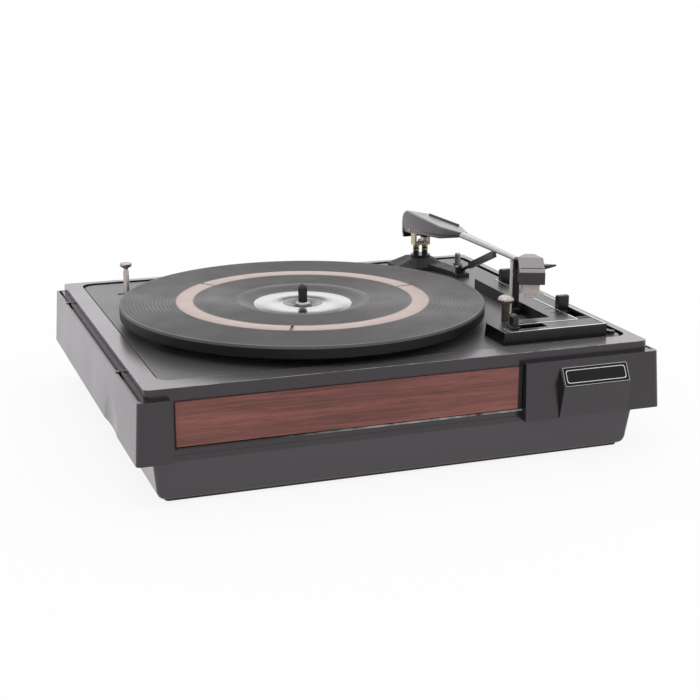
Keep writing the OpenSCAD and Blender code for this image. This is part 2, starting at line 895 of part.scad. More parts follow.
module unit_plate() color("#39373a") place() {
    difference() {
        union() {
            prism(plate_outline(0), z_under, z_plate);
            difference() {
                prism(plate_outline(0), z_plate - plate_lip, z_under + eps);
                prism(plate_outline(plate_t), z_plate - plate_lip - 1, z_plate);
            }
        }
        plate_holes();
    }
    translate([cam_x, cam_y, z_under]) cylinder(r = cam_stud_r, h = z_gear + gear_t - z_under + 0.4);
    translate([cam_x, cam_y, z_plate - eps]) cylinder(r = cam_stud_r + 3, h = z_gear - z_plate - pass_gap);
}

// L-shaped block with a sloped left end, shrunk by d at its sides and top
module panel_block(d, z0) {
    front_prism([
        [panel_left - panel_slope + 1.6 * d, z0], [panel_x1 - d, z0], [panel_x1 - d, z_panel - d],
        [panel_left + d, z_panel - d]
    ], panel_y0 + d, panel_y1 - d);
    prism([
        [panel_x0 + d, panel_y0 + d], [panel_x1 - d, panel_y0 + d], [panel_x1 - d, panel_y2 - d],
        [panel_x0 + panel_taper + d, panel_y2 - d]
    ], z0, z_panel - d);
}

// Slot for a knob at (x, y) that travels along +X or -Y
module slot_cut(x, y, along_x, along_y, z) {
    w = slot_w;
    t = knob_t + 2 * knob_fit;
    translate([
        x - (along_x == 0 ? w / 2 : t / 2), y - (along_y == 0 ? w / 2 : t / 2 + along_y), z
    ]) cube([along_x == 0 ? w : along_x + t, along_y == 0 ? w : along_y + t, panel_t + 2]);
}

module control_panel() color(black) place() difference() {
    union() {
        difference() {
            panel_block(0, z_plate);
            panel_block(panel_t, z_plate - 1);
        }
        translate([lever_x, lever_y, z_plate + lever_lift])
            cylinder(r = lever_pin_r, h = panel_h - lever_lift - eps);
        translate([lever_x, lever_y, z_plate + 2 * lever_lift + lever_t])
            cylinder(r = lever_pin_r + 2, h = panel_h - 2 * lever_lift - lever_t - eps);
        for (p = panel_screw_pos)
            translate([p[0], p[1], z_plate]) cylinder(r = 2 * panel_screw_r, h = panel_h - eps);
    }
    slot_cut(speed_x, speed_y, 0, speed_travel, z_panel - panel_t - 1);
    slot_cut(cue_x, cue_y, 0, cue_travel, z_panel - panel_t - 1);
    slot_cut(function_x, function_y, function_travel, 0, z_panel - panel_t - 1);
    translate([panel_x1 - panel_t - 1, lever_y - lever_slot + 0.5, z_plate - 1])
        cube([panel_t + 2, lever_slot, lever_lift + lever_t + 2]);
    for (p = panel_screw_pos)
        translate([p[0], p[1], z_plate - 1]) cylinder(r = panel_screw_r, h = panel_h - 1);
}

// Straight run of bright trim between two points of the panel's top
module trim_run(a, b) {
    w = trim_w / 2;
    translate([min(a[0], b[0]) - w, min(a[1], b[1]) - w, z_panel])
        cube([abs(a[0] - b[0]) + trim_w, abs(a[1] - b[1]) + trim_w, trim_t]);
}

module trim_line(points) {
    for (i = [0 : len(points) - 2]) trim_run(points[i], points[i + 1]);
}

module panel_trim() color("silver") place() {
    left = panel_left + trim_left;
    right = panel_x1 - trim_edge;
    inner = speed_x - slot_w / 2 - trim_off;
    front = function_y + slot_w / 2 + 1;
    cue = cue_x - slot_w / 2 - trim_cue_off;
    trim_line([
        [left, function_y], [left, panel_y0 + trim_edge], [right, panel_y0 + trim_edge],
        [right, panel_y0 + trim_back]
    ]);
    trim_line([[function_x + 8, front], [inner, front], [inner, speed_y + trim_inner_run]]);
    trim_line([[cue, cue_y + trim_cue_start], [cue, cue_y - cue_travel - trim_cue_run]]);
}

module arm_rest() color(soft_black) place() {
    top = z_tube - pass_gap;
    translate([rest_x - rest_w / 2, rest_y - rest_d / 2, z_plate]) cube([rest_w, rest_d, top - z_plate]);
    translate([rest_x - rest_w / 2, rest_y - rest_d / 2 - 2, z_plate])
        cube([panel_x0 - rest_x + rest_w / 2 - press, rest_d + 4, 5]);
}

module rest_clip() color(nickel) place() {
    x = rest_x - rest_w / 2 - clip_t;
    translate([x, rest_y - clip_w / 2, z_plate]) cube([clip_t, clip_w, z_tube - pass_gap - z_plate]);
    translate([x - 5, rest_y - clip_w / 2, z_plate]) cube([5, clip_w, clip_t]);
}

// Section of the low arm that runs from the pedestal to the feeler
function foot_row(y, x0, x1, z1) = [[x0, y, z_plate], [x1, y, z_plate], [x1, y, z1], [x0, y, z1]];

// Low pyramid under the arm, with a low arm that carries the feeler
module arm_pedestal() color(soft_black) place() difference() {
    left = pivot_x - pedestal_left;
    right = pivot_x + pedestal_right;
    front = pivot_y - pedestal_front;
    back = pivot_y + pedestal_back;
    top = pedestal_top;
    cut = pedestal_top - pedestal_bevel;
    z_foot = feeler_z - pass_gap;
    outline = [
        [left, front + pedestal_cut_y], [left + pedestal_cut_x, front], [right - pedestal_corner, front],
        [right, front + pedestal_corner], [right, back], [left, back]
    ];
    summit = [
        for (p = [[-top, -cut], [-cut, -top], [cut, -top], [top, -cut], [top, top], [-top, top]])
            [pivot_x + p[0], pivot_y + p[1]]
    ];
    union() {
        skin([at_z(outline, z_plate), at_z(outline, z_plate + pedestal_toe), at_z(summit, z_pedestal)]);
        skin([
            foot_row(front + foot_lap, pivot_x, right - 1, z_plate + foot_rise),
            foot_row(feeler_y + feeler_foot, feeler_x - feeler_foot, feeler_x + feeler_foot, z_foot),
            foot_row(feeler_y - feeler_foot, feeler_x - feeler_foot, feeler_x + feeler_foot, z_foot)
        ]);
        translate([feeler_x, feeler_y, z_plate])
            cylinder(r = feeler_pin_r, h = feeler_z - z_plate + feeler_hub + 1);
    }
    translate([pivot_x, pivot_y, z_plate - 1]) cylinder(r = arm_shaft_r + run_fit, h = pedestal_h + 10);
}

module overarm_post() color("silver") place() translate([overarm_pos[0], overarm_pos[1], z_plate]) {
    cylinder(r = 4, h = 1.5);
    cylinder(r = 2.6, h = 9.5);
    translate([0, 0, 9.5]) cylinder(r1 = 2.6, r2 = 1.8, h = 1);
}

module bearing_post() color(steel) place() translate([axis_x, axis_y, 0]) {
    tube(post_r, shank_r + run_fit, z_under - spindle_tail, z_post);
    tube(post_r + post_flange, post_r - eps, z_under - post_flange_t, z_under);
}

module thrust_ring() color(steel) place() translate([axis_x, axis_y, 0]) {
    tube(hub_r, post_r + press, z_plate, z_plate + ring_t);
}

module idler_bracket() color(steel) place() translate([idler_x, idler_y, z_plate]) {
    translate([-collar_r, -bracket_len, 0]) cube([2 * collar_r, bracket_len + collar_r, bracket_t]);
    cylinder(r = collar_r, h = z_idler - wheel_boss - pass_gap - z_plate);
    cylinder(r = stud_r, h = z_web0 - pass_gap - z_plate);
    translate([0, rivet_in - bracket_len, 0]) cylinder(r = rivet_r, h = bracket_t + rivet_h);
}

module motor_frame() color("#55504c") place() translate([motor_x, motor_y, 0]) difference() {
    translate([-motor_w / 2, -motor_w / 2 + 4, z_motor - motor_h]) cube([motor_w, motor_w - 8, motor_h]);
    translate([0, 0, z_motor - motor_h - 1]) cylinder(r = rotor_r + air_gap, h = motor_h + 2);
    for (side = [-1, 1])
        translate([0, side * (rotor_r + coil_in + coil_w / 2), z_motor - motor_h / 2])
            cube([coil_len, coil_w, motor_h + 2], center = true);
}

// Winding that fills the two windows of the iron frame and stands out of its ends
module motor_coil() color("#7a4a2c") place() translate([motor_x, motor_y, 0]) {
    for (side = [-1, 1])
        translate([0, side * (rotor_r + coil_in + coil_w / 2), z_motor - motor_h / 2])
            cube([coil_len - 2 * coil_play, coil_w - 2 * coil_play, motor_h + 2 * coil_over], center = true);
}

// Top and bottom bridges with the rotor's bearings
module motor_bracket() color(steel) place() translate([motor_x, motor_y, 0]) {
    foot = 4;
    for (z = [z_motor + bridge_gap, z_motor - motor_h - bridge_gap - bridge_t]) difference() {
        union() {
            translate([-motor_w / 2, -8, z]) cube([motor_w, 16, bridge_t]);
            if (z > z_motor)
                for (a = motor_turns) rotate(a) {
                    translate([0, -bridge_w / 2, z]) cube([motor_stud, bridge_w, bridge_t]);
                    translate([motor_stud, 0, z]) cylinder(r = bridge_w / 2, h = bridge_t);
                }
        }
        translate([0, 0, z - 1]) cylinder(r = shaft_r + run_fit, h = bridge_t + 2);
        for (a = motor_turns)
            translate([motor_stud * cos(a), motor_stud * sin(a), z - 1])
                cylinder(r = stud_hole_r, h = bridge_t + 2);
    }
    for (x = [-motor_w / 2, motor_w / 2 - foot]) {
        translate([x, -6, z_motor]) cube([foot, 12, bridge_gap + eps]);
        translate([x, -6, z_motor - motor_h - bridge_gap - eps]) cube([foot, 12, bridge_gap + eps]);
    }
}

module at_motor_studs() {
    for (a = motor_turns)
        translate([motor_x + motor_stud * cos(a), motor_y + motor_stud * sin(a), 0]) children();
}

module motor_grommets() color(soft_black) place() at_motor_studs() {
    tube(grommet_r, stud_hole_r, z_under - grommet_h, z_under);
}

module motor_screws() color(nickel) place() at_motor_studs() {
    nut_z = z_motor + bridge_gap - nut_h;
    translate([0, 0, z_plate]) cylinder(r = 3.6, h = 1.8);
    translate([0, 0, nut_z - stud_tip])
        cylinder(r = stud_hole_r - run_fit, h = z_plate - nut_z + stud_tip + eps);
    translate([0, 0, nut_z]) cylinder(r = 3.4, h = nut_h, $fn = 6);
}

module power_switch() color("#8c2f24") place() {
    translate([switch_x, switch_y, z_under - switch_h]) cube([switch_w, switch_d, switch_h]);
    for (x = [4, switch_w - 6])
        translate([switch_x + x, switch_y + 3, z_under - switch_h - 4]) cube([2, 4, 4]);
}

// Screws from under the plate that hold the panel down by its bosses
module panel_screws() color(nickel) place() {
    for (p = panel_screw_pos) translate([p[0], p[1], z_under - 2]) {
        cylinder(r = 2 * panel_screw_r, h = 2);
        cylinder(r = panel_screw_r - press, h = plate_t + panel_h - 2);
    }
}

module turned(points) {
    translate([axis_x, axis_y, 0]) rotate_extrude($fn = 96) polygon(points);
}

module platter() color("#262527") place() turned([
    [post_r + run_fit, z_hub0], [hub_r, z_hub0], [hub_r, z_well0], [well_r + well_t, z_well0],
    [well_r + well_t, z_web0], [rim_in, z_web0], [rim_in, z_rim0], [platter_r - rim_bevel, z_rim0],
    [platter_r, z_rim0 + rim_bevel], [platter_r, z_web1], [well_r, z_web1], [well_r, z_well],
    [post_r + run_fit, z_well]
]);

module platter_mat() color("#2a292b") place() turned([
    [disc_r + seat_gap, z_web1], [mat_r, z_web1], [mat_r, z_mat - mat_bevel], [mat_r - mat_bevel, z_mat],
    [ring_out + seat_gap, z_mat], [ring_out + seat_gap, z_mat - inlay],
    [ring_in - seat_gap, z_mat - inlay], [ring_in - seat_gap, z_mat], [dish_r, z_mat],
    [dish_r - dish_slope, z_web1 + dish_t], [disc_r + seat_gap, z_web1 + dish_t]
]);

module mat_ring() color("#cdb7a9") place() translate([axis_x, axis_y, 0]) difference() {
    tube(ring_out, ring_in, z_mat - inlay, z_mat + 0.1, $fn = 96);
    for (i = [0 : 2]) rotate(ring_turn + 120 * i)
        translate([ring_in - 2, -ring_gap / 2, z_mat - 2]) cube([ring_out - ring_in + 4, ring_gap, 4]);
}

module hub_disc() color("#d4d4d6") place() translate([axis_x, axis_y, 0]) {
    tube(disc_r, well_r + press, z_web1, z_web1 + disc_t, $fn = 96);
}

module drive_pinion() color("#d8d2c0") place() translate([axis_x, axis_y, 0]) difference() {
    prism(gear_points(pinion_teeth, gear_m, cam_turn), z_gear, z_gear + gear_t);
    translate([0, 0, z_gear - 1]) cylinder(r = hub_r + press, h = gear_t + 2);
}

module cam_gear() color("#d8d2c0") place() translate([cam_x, cam_y, 0]) difference() {
    prism(gear_points(cam_teeth, gear_m, cam_turn + 180 + 180 / cam_teeth), z_gear, z_gear + gear_t);
    translate([0, 0, z_gear - 1]) cylinder(r = cam_stud_r + run_fit, h = gear_t + 2);
    tube(cam_r - 5, cam_r - 9, z_gear + 2, z_gear + gear_t + 1);
}

module spindle() color(soft_black) place() translate([axis_x, axis_y, 0]) {
    top = z_mat + spindle_h - spindle_r;
    shoulder = z_post + pass_gap;
    bottom = z_under - spindle_tail - 4;
    translate([0, 0, bottom]) cylinder(r = shank_r, h = shoulder - bottom + eps);
    translate([0, 0, shoulder]) cylinder(r = spindle_r, h = top - shoulder);
    intersection() {
        translate([0, 0, top]) sphere(r = spindle_r);
        translate([0, 0, top - eps]) cylinder(r = spindle_r + 1, h = spindle_r + 1);
    }
}

module idler_wheel() color("#c9c2ae") place() translate([idler_x, idler_y, 0]) {
    tube(idler_r - tyre_t, stud_r + run_fit, z_idler + 0.4, z_idler + idler_t - 0.4);
    tube(stud_r + 3, stud_r + run_fit, z_idler - wheel_boss, z_idler + idler_t + 0.4);
}

module idler_tyre() color(soft_black) place() translate([idler_x, idler_y, 0]) {
    tube(idler_r, idler_r - tyre_t + press, z_idler, z_idler + idler_t);
}

module motor_rotor() color("#77726c") place() translate([motor_x, motor_y, 0]) {
    bottom = z_motor - motor_h - bridge_gap - bridge_t - 1;
    translate([0, 0, z_motor - motor_h + 0.5]) cylinder(r = rotor_r, h = motor_h - 1);
    translate([0, 0, bottom]) cylinder(r = shaft_r, h = z_idler + idler_t + 0.5 - bottom);
}

// Stepped pulley, one step for each speed, the slowest at the top
module motor_pulley() color("#c8a24a") place() translate([motor_x, motor_y, 0]) {
    steps = [[6.3, 0], [3.7, 2.4], [pulley_r, 4.8]];
    top = z_idler + idler_t + 0.4;
    difference() {
        union() {
            translate([0, 0, z_pulley]) cylinder(r = steps[0][0], h = steps[1][1]);
            translate([0, 0, z_pulley]) cylinder(r = steps[1][0], h = steps[2][1]);
            translate([0, 0, z_pulley]) cylinder(r = steps[2][0], h = top - z_pulley);
        }
        translate([0, 0, z_pulley - 1]) cylinder(r = shaft_r + press, h = top - z_pulley + 2);
    }
}

// Turning base of the arm: shaft, disc and two pillars
module arm_turret() color(soft_black) place() translate([pivot_x, pivot_y, 0]) {
    disc_z = z_pedestal + pass_gap;
    shaft_z = z_under - arm_shaft_tail;
    pillar_z = disc_z + turret_t - eps;
    translate([0, 0, shaft_z]) cylinder(r = arm_shaft_r, h = disc_z - shaft_z + eps);
    translate([0, 0, z_under - pass_gap - collar_t]) cylinder(r = arm_shaft_r + 4, h = collar_t);
    translate([0, 0, disc_z]) cylinder(r = turret_r, h = turret_t);
    for (x = [-pillar_gap, pillar_gap])
        translate([x, 0, pillar_z]) cylinder(r = pillar_r, h = yoke_base_z - pillar_z);
}

// Yoke with the two bearing ears of the tilt pivot
module arm_yoke() color("#c2ad7a") place() translate([pivot_x, pivot_y, 0]) difference() {
    union() {
        translate([-yoke_w / 2, -yoke_d / 2, yoke_base_z]) cube([yoke_w, yoke_d, yoke_t]);
        for (x = [-yoke_w / 2, yoke_w / 2 - yoke_t]) {
            translate([x, -yoke_d / 2, yoke_base_z]) cube([yoke_t, yoke_d, z_tilt - yoke_base_z]);
            translate([x, 0, z_tilt]) rotate([0, 90, 0]) cylinder(r = yoke_d / 2, h = yoke_t);
        }
    }
    translate([-yoke_w / 2 - 1, 0, z_tilt]) rotate([0, 90, 0]) cylinder(r = pin_r + run_fit, h = yoke_w + 2);
}

// Section of the arm's rear housing at a distance in front of the pivot; its top falls to the right
function housing_row(u, half, z0, z1, chamfer, fall = 0) = [
    [pivot_x - half, pivot_y - u, z0], [pivot_x + half, pivot_y - u, z0],
    [pivot_x + half, pivot_y - u, z1 - fall - chamfer], [pivot_x + half - chamfer, pivot_y - u, z1 - fall],
    [pivot_x - half + chamfer, pivot_y - u, z1], [pivot_x - half, pivot_y - u, z1 - chamfer]
];
housing_half = housing_w / 2;
z_house = z_tube + housing_rise;
z_house_low = z_tilt - 3.5;

// Slanting tail with a hook: from the back end, drawn in at each side, below the low edge, below the top
housing_tail = [
    [0, 2.5, hook_h - 0.5, 18], [1.5, 0.8, hook_h, 11], [5.5, 0, hook_h, 3.6], [7.5, 0, 0, 2], [13, 0, 0, 0]
];

module housing_solid() {
    skin([
        for (t = housing_tail)
            housing_row(
                t[0] - housing_back, housing_half - t[1], z_house_low - t[2], z_house - t[3],
                house_bevel, rear_fall
            ),
        housing_row(
            housing_crease, housing_half, z_tube - crease_drop, z_house - house_fall, house_bevel, crease_fall
        ),
        housing_row(housing_front, tube_w / 2, z_tube, z_tube + tube_h, tube_bevel)
    ]);
}

z_cavity = z_house - rear_fall - shell_t;
module housing_cavity() {
    half = housing_half - shell_t;
    low = z_house_low - cavity_drop;
    skin([
        housing_row(cavity_back - housing_back, half, low, z_cavity, 1),
        housing_row(
            housing_crease - cavity_front_gap, half, low, z_house - house_fall - crease_fall - shell_t, 1
        )
    ]);
}

// Section of the ridge along the right edge of the housing's top
function ridge_row(u, edge) = let (
    x0 = pivot_x + housing_half - ridge_in,
    x1 = x0 + ridge_w,
    z1 = edge + ridge_rise,
    y = pivot_y - u
) [[x0, y, z1 - ridge_h], [x1, y, z1 - ridge_h], [x1, y, z1], [x0, y, z1]];

module arm_housing() color(black) place() difference() {
    union() {
        difference() {
            housing_solid();
            housing_cavity();
        }
        skin([
            ridge_row(ridge_start, z_house - rear_fall),
            ridge_row(housing_crease - 1, z_house - house_fall - crease_fall)
        ]);
    }
    translate([pivot_x - housing_half - 1, pivot_y, z_tilt]) rotate([0, 90, 0])
        cylinder(r = pin_r + press, h = housing_w + 2);
}

// Balance weight held between the housing's walls
module counterweight() color("#6f6d6a") place() {
    half = housing_half - shell_t - press;
    translate([pivot_x - half, pivot_y - weight_start - weight_len, z_cavity - weight_gap - weight_h])
        cube([2 * half, weight_len, weight_h]);
}

module tilt_pin() color(steel) place() translate([pivot_x - housing_half, pivot_y, z_tilt]) rotate([0, 90, 0])
    cylinder(r = pin_r, h = housing_w);

module arm_tube() color(black) place() skin([
    housing_row(housing_front, tube_w / 2, z_tube, z_tube + tube_h, tube_bevel),
    housing_row(tube_end, tube_tip_w / 2, z_tube, z_tube + tube_tip_h, tube_bevel)
]);

// Moves a shape from the head's own frame, rear middle at the origin, forwards along -Y
module head_frame() {
    translate([head_x, head_y, 0]) rotate([0, 0, -head_turn]) children();
}

module head_shell() color("#4a494b") place() {
    half = head_w / 2;
    tip = tube_tip_w / 2;
    rear = z_tube + tube_h - 0.5;
    neck = rear - 1.8;
    head_frame() difference() {
        intersection() {
            side_prism([
                [-head_len, z_head], [-head_len, z_head + head_h], [-4, rear - 0.6], [head_rear, rear],
                [head_rear, neck - 0.6], [0, z_tube], [-12, z_head]
            ], -half, half);
            prism([
                [-half, -head_len], [half, -head_len], [half, -5], [half - 6.2, head_rear],
                [-half + 5.7, head_rear], [-half, -2.5]
            ], z_head - 1, rear + 1);
        }
        side_prism([
            [-head_len + 2.4, z_head - 1], [-head_len + 2.4, z_head + head_h - 3],
            [-14, z_head + head_h - 1.5], [-14, z_head - 1]
        ], -half + 2, half - 2);
    }
    prism([
        [pivot_x - tip, pivot_y - tube_end], [pivot_x - tip + 2, pivot_y - tube_end - 6],
        [head_x + 4, head_y - 2], [pivot_x + tip, pivot_y - tube_end]
    ], z_tube + 0.2, neck);
}

module finger_lift() color(black) place() head_frame() {
    half = head_w / 2;
    prism([[half, -10], [half, -17], [half + 9, -15.6], [half + 9.6, -14.2]], z_head + 11, z_head + 12.6);
}

module cartridge() color("#e3cfc8") place() head_frame() {
    x = cart_w / 2;
    front = -head_len + cart_back;
    translate([-x, front, z_head - cart_h + 3]) cube([cart_w, 14, cart_h - 3]);
    translate([-x + 1.6, front + 1, z_head - cart_h]) cube([cart_w - 3.2, 10, 3 + eps]);
}

module stylus() color("#c9c9cc") place() head_frame()
    translate([0, -head_len + cart_back + stylus_back, z_head - cart_h - stylus_h])
        cylinder(r1 = 0.2, r2 = 0.9, h = stylus_h);

// Knob over a slot, with the shoe that holds it under the panel; the grip may be slimmer than the stem
module slide_knob(x, y, along_x, w = slot_w - 2 * knob_fit, t = knob_t) {
    half_t = knob_t / 2;
    half_s = slot_w / 2 - knob_fit;
    step = z_panel + grip_step;
    top = z_panel + knob_h;
    translate([x, y, 0]) rotate(along_x ? 90 : 0) {
        translate([-half_s, -half_t, shoe_z]) cube([2 * half_s, knob_t, step - shoe_z]);
        side_prism([
            [-t / 2, step - eps], [t / 2, step - eps], [t / 2, top - 1.5], [t / 2 - 1.5, top],
            [-t / 2 + 0.6, top], [-t / 2, top - 0.6]
        ], -w / 2, w / 2);
        difference() {
            translate([-shoe_w / 2, -half_t - 2, shoe_z]) cube([shoe_w, knob_t + 4, shoe_t]);
            translate([-half_s, -half_t, shoe_z - 1]) cube([2 * half_s, knob_t, shoe_t + 2]);
        }
    }
}

module function_knob() color(soft_black) place() slide_knob(function_x, function_y, true, grip_w, grip_t);

module speed_knob() color(soft_black) place() slide_knob(speed_x, speed_y, false);

module cue_knob() color(soft_black) place() slide_knob(cue_x, cue_y, false);

// Lever that points forwards out of the panel's right wall
module size_lever() color(soft_black) place()
    translate([lever_x, lever_y, z_plate + lever_lift]) difference() {
        rotate(lever_turn) union() {
            cylinder(r = lever_pin_r + 2.4, h = lever_t);
            translate([0, -lever_w / 2, 0]) cube([lever_len, lever_w, lever_t]);
            translate([lever_len, 0, 0]) cylinder(r = lever_w / 2, h = lever_t);
        }
        translate([0, 0, -1]) cylinder(r = lever_pin_r + run_fit, h = lever_t + 2);
    }

// Feeler arm: hub on a pin, thin wire, then a flat blade that rises under the tonearm
module size_feeler() color(soft_black) place() translate([feeler_x, feeler_y, feeler_z]) {
    difference() {
        cylinder(r = feeler_pin_r + 2.4, h = feeler_hub);
        translate([0, 0, -1]) cylinder(r = feeler_pin_r + run_fit, h = feeler_hub + 2);
    }
    rotate([0, 0, feeler_yaw]) translate([3, 0, 2.6]) rotate([0, -feeler_rise, 0]) {
        rotate([0, 90, 0]) cylinder(r = 1.5, h = feeler_thin, $fn = 24);
        translate([feeler_thin - 2, -1.6, -2.6]) cube([feeler_len - feeler_thin, 3.2, 5.2]);
    }
}

// Mushroom-headed screw with a keeper under the plate
module transit_screw(p, h, r, head) {
    z_top = z_plate + h;
    z_tail = z_under - transit_tail;
    translate([p[0], p[1], 0]) {
        translate([0, 0, z_tail]) cylinder(r = r, h = z_top - transit_head_h / 2 - z_tail);
        translate([0, 0, z_tail + 2]) cylinder(r = r + keeper_over, h = keeper_h);
        translate([0, 0, z_top - transit_head_h]) rotate_extrude() polygon([
            [0, 0], [r + 0.6, 0], [head - 0.4, 0.32 * transit_head_h], [head, 0.52 * transit_head_h],
            [head - 0.8, 0.76 * transit_head_h], [0.55 * head, 0.94 * transit_head_h], [0, transit_head_h]
        ]);
    }
}

module transit_screw_left() color(nickel) place()
    transit_screw(screw_left, transit_left_h, transit_left_r, transit_left_head);

module transit_screw_right() color(nickel) place()
    transit_screw(screw_right, transit_right_h, transit_right_r, transit_right_head);

plinth_shell();
bottom_cover();
feet();
cover_screws();
wood_panel();
badge_block();
badge_plate();
cord_grommets();
suspension_springs();
unit_plate();
control_panel();
panel_trim();
arm_rest();
rest_clip();
arm_pedestal();
overarm_post();
bearing_post();
thrust_ring();
idler_bracket();
motor_frame();
motor_coil();
motor_bracket();
motor_grommets();
motor_screws();
power_switch();
panel_screws();
platter();
platter_mat();
mat_ring();
hub_disc();
drive_pinion();
spindle();
idler_wheel();
idler_tyre();
motor_rotor();
motor_pulley();
cam_gear();
arm_turret();
arm_yoke();
arm_housing();
counterweight();
tilt_pin();
arm_tube();
head_shell();
finger_lift();
cartridge();
stylus();
function_knob();
speed_knob();
cue_knob();
size_lever();
size_feeler();
transit_screw_left();
transit_screw_right();
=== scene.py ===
"""Looks of an automatic record changer: finishes, pieces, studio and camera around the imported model.

Sizes are in millimetres, +X right, +Y back, +Z up, and become metres when a mesh is made.
"""
import math

import bmesh
import bpy
from mathutils import Matrix, Vector


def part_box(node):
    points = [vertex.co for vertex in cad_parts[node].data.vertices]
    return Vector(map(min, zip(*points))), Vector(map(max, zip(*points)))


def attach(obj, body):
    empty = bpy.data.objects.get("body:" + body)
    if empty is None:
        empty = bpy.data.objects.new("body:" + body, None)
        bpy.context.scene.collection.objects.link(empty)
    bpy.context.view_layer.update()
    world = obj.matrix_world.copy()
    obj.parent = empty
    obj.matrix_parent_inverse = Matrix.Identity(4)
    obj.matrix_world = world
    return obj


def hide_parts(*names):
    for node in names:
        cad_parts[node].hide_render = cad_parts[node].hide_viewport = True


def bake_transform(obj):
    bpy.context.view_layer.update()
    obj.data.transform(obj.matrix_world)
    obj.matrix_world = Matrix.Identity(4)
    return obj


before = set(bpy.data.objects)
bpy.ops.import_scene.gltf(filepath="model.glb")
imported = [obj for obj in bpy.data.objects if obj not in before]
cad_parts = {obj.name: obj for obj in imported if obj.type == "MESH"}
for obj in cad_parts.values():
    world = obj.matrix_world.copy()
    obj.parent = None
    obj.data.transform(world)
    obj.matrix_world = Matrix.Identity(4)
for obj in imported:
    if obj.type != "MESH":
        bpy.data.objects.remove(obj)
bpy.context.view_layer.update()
MM = 0.001


def box(node):
    """Lowest and highest corner of a CAD node, in millimetres."""
    return [[c / MM for c in corner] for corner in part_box(node)]


def middle(node):
    return [(a + b) / 2 for a, b in zip(*box(node))]


def across(node):
    """Half the width of a CAD node, along X."""
    low, high = box(node)
    return (high[0] - low[0]) / 2


def added(name, data):
    """A new object in the scene for a mesh, lamp or camera."""
    obj = bpy.data.objects.new(name, data)
    bpy.context.scene.collection.objects.link(obj)
    return obj


# Camera, fitted to the photograph, whose picture is square
PICTURE_PX = 700
FOCAL_PX = 1412.6
CAMERA_AT = Vector((-357.47, -1018.94, 350.57))
CAMERA_YAW, CAMERA_PITCH, CAMERA_ROLL = 19.99, 15.60, 0.12


def make_camera():
    yaw, pitch, roll = (math.radians(a) for a in (CAMERA_YAW, CAMERA_PITCH, CAMERA_ROLL))
    ahead = Vector((math.sin(yaw) * math.cos(pitch), math.cos(yaw) * math.cos(pitch), -math.sin(pitch)))
    level = Vector((math.cos(yaw), -math.sin(yaw), 0))
    over = level.cross(ahead)
    right = math.cos(roll) * level + math.sin(roll) * over
    up = right.cross(ahead)
    data = bpy.data.cameras.new("camera")
    data.sensor_width = 36
    data.lens = FOCAL_PX / PICTURE_PX * data.sensor_width
    data.clip_start, data.clip_end = 0.05, 50
    camera = added("camera", data)
    turn = Matrix((right, up, -ahead)).transposed()
    camera.matrix_world = Matrix.Translation(CAMERA_AT * MM) @ turn.to_4x4()
    bpy.context.scene.camera = camera


# Materials
NOISE_SPAN = (0.3, 0.7)
EDGE_MATCH = (0.995, 0.86)
WEAR_AND_HIGHLIGHT_PATCH, WEAR_AND_HIGHLIGHT_LOW, WEAR_AND_HIGHLIGHT_HIGH, WEAR_AND_HIGHLIGHT_FADE = 7.0, 0.62, 0.72, 1.5
DUST_AND_SHEEN_GRAIN, DUST_AND_SHEEN_SLOPE, DUST_AND_SHEEN_LEAST = 1.2, (0.6, 0.95), 0.6


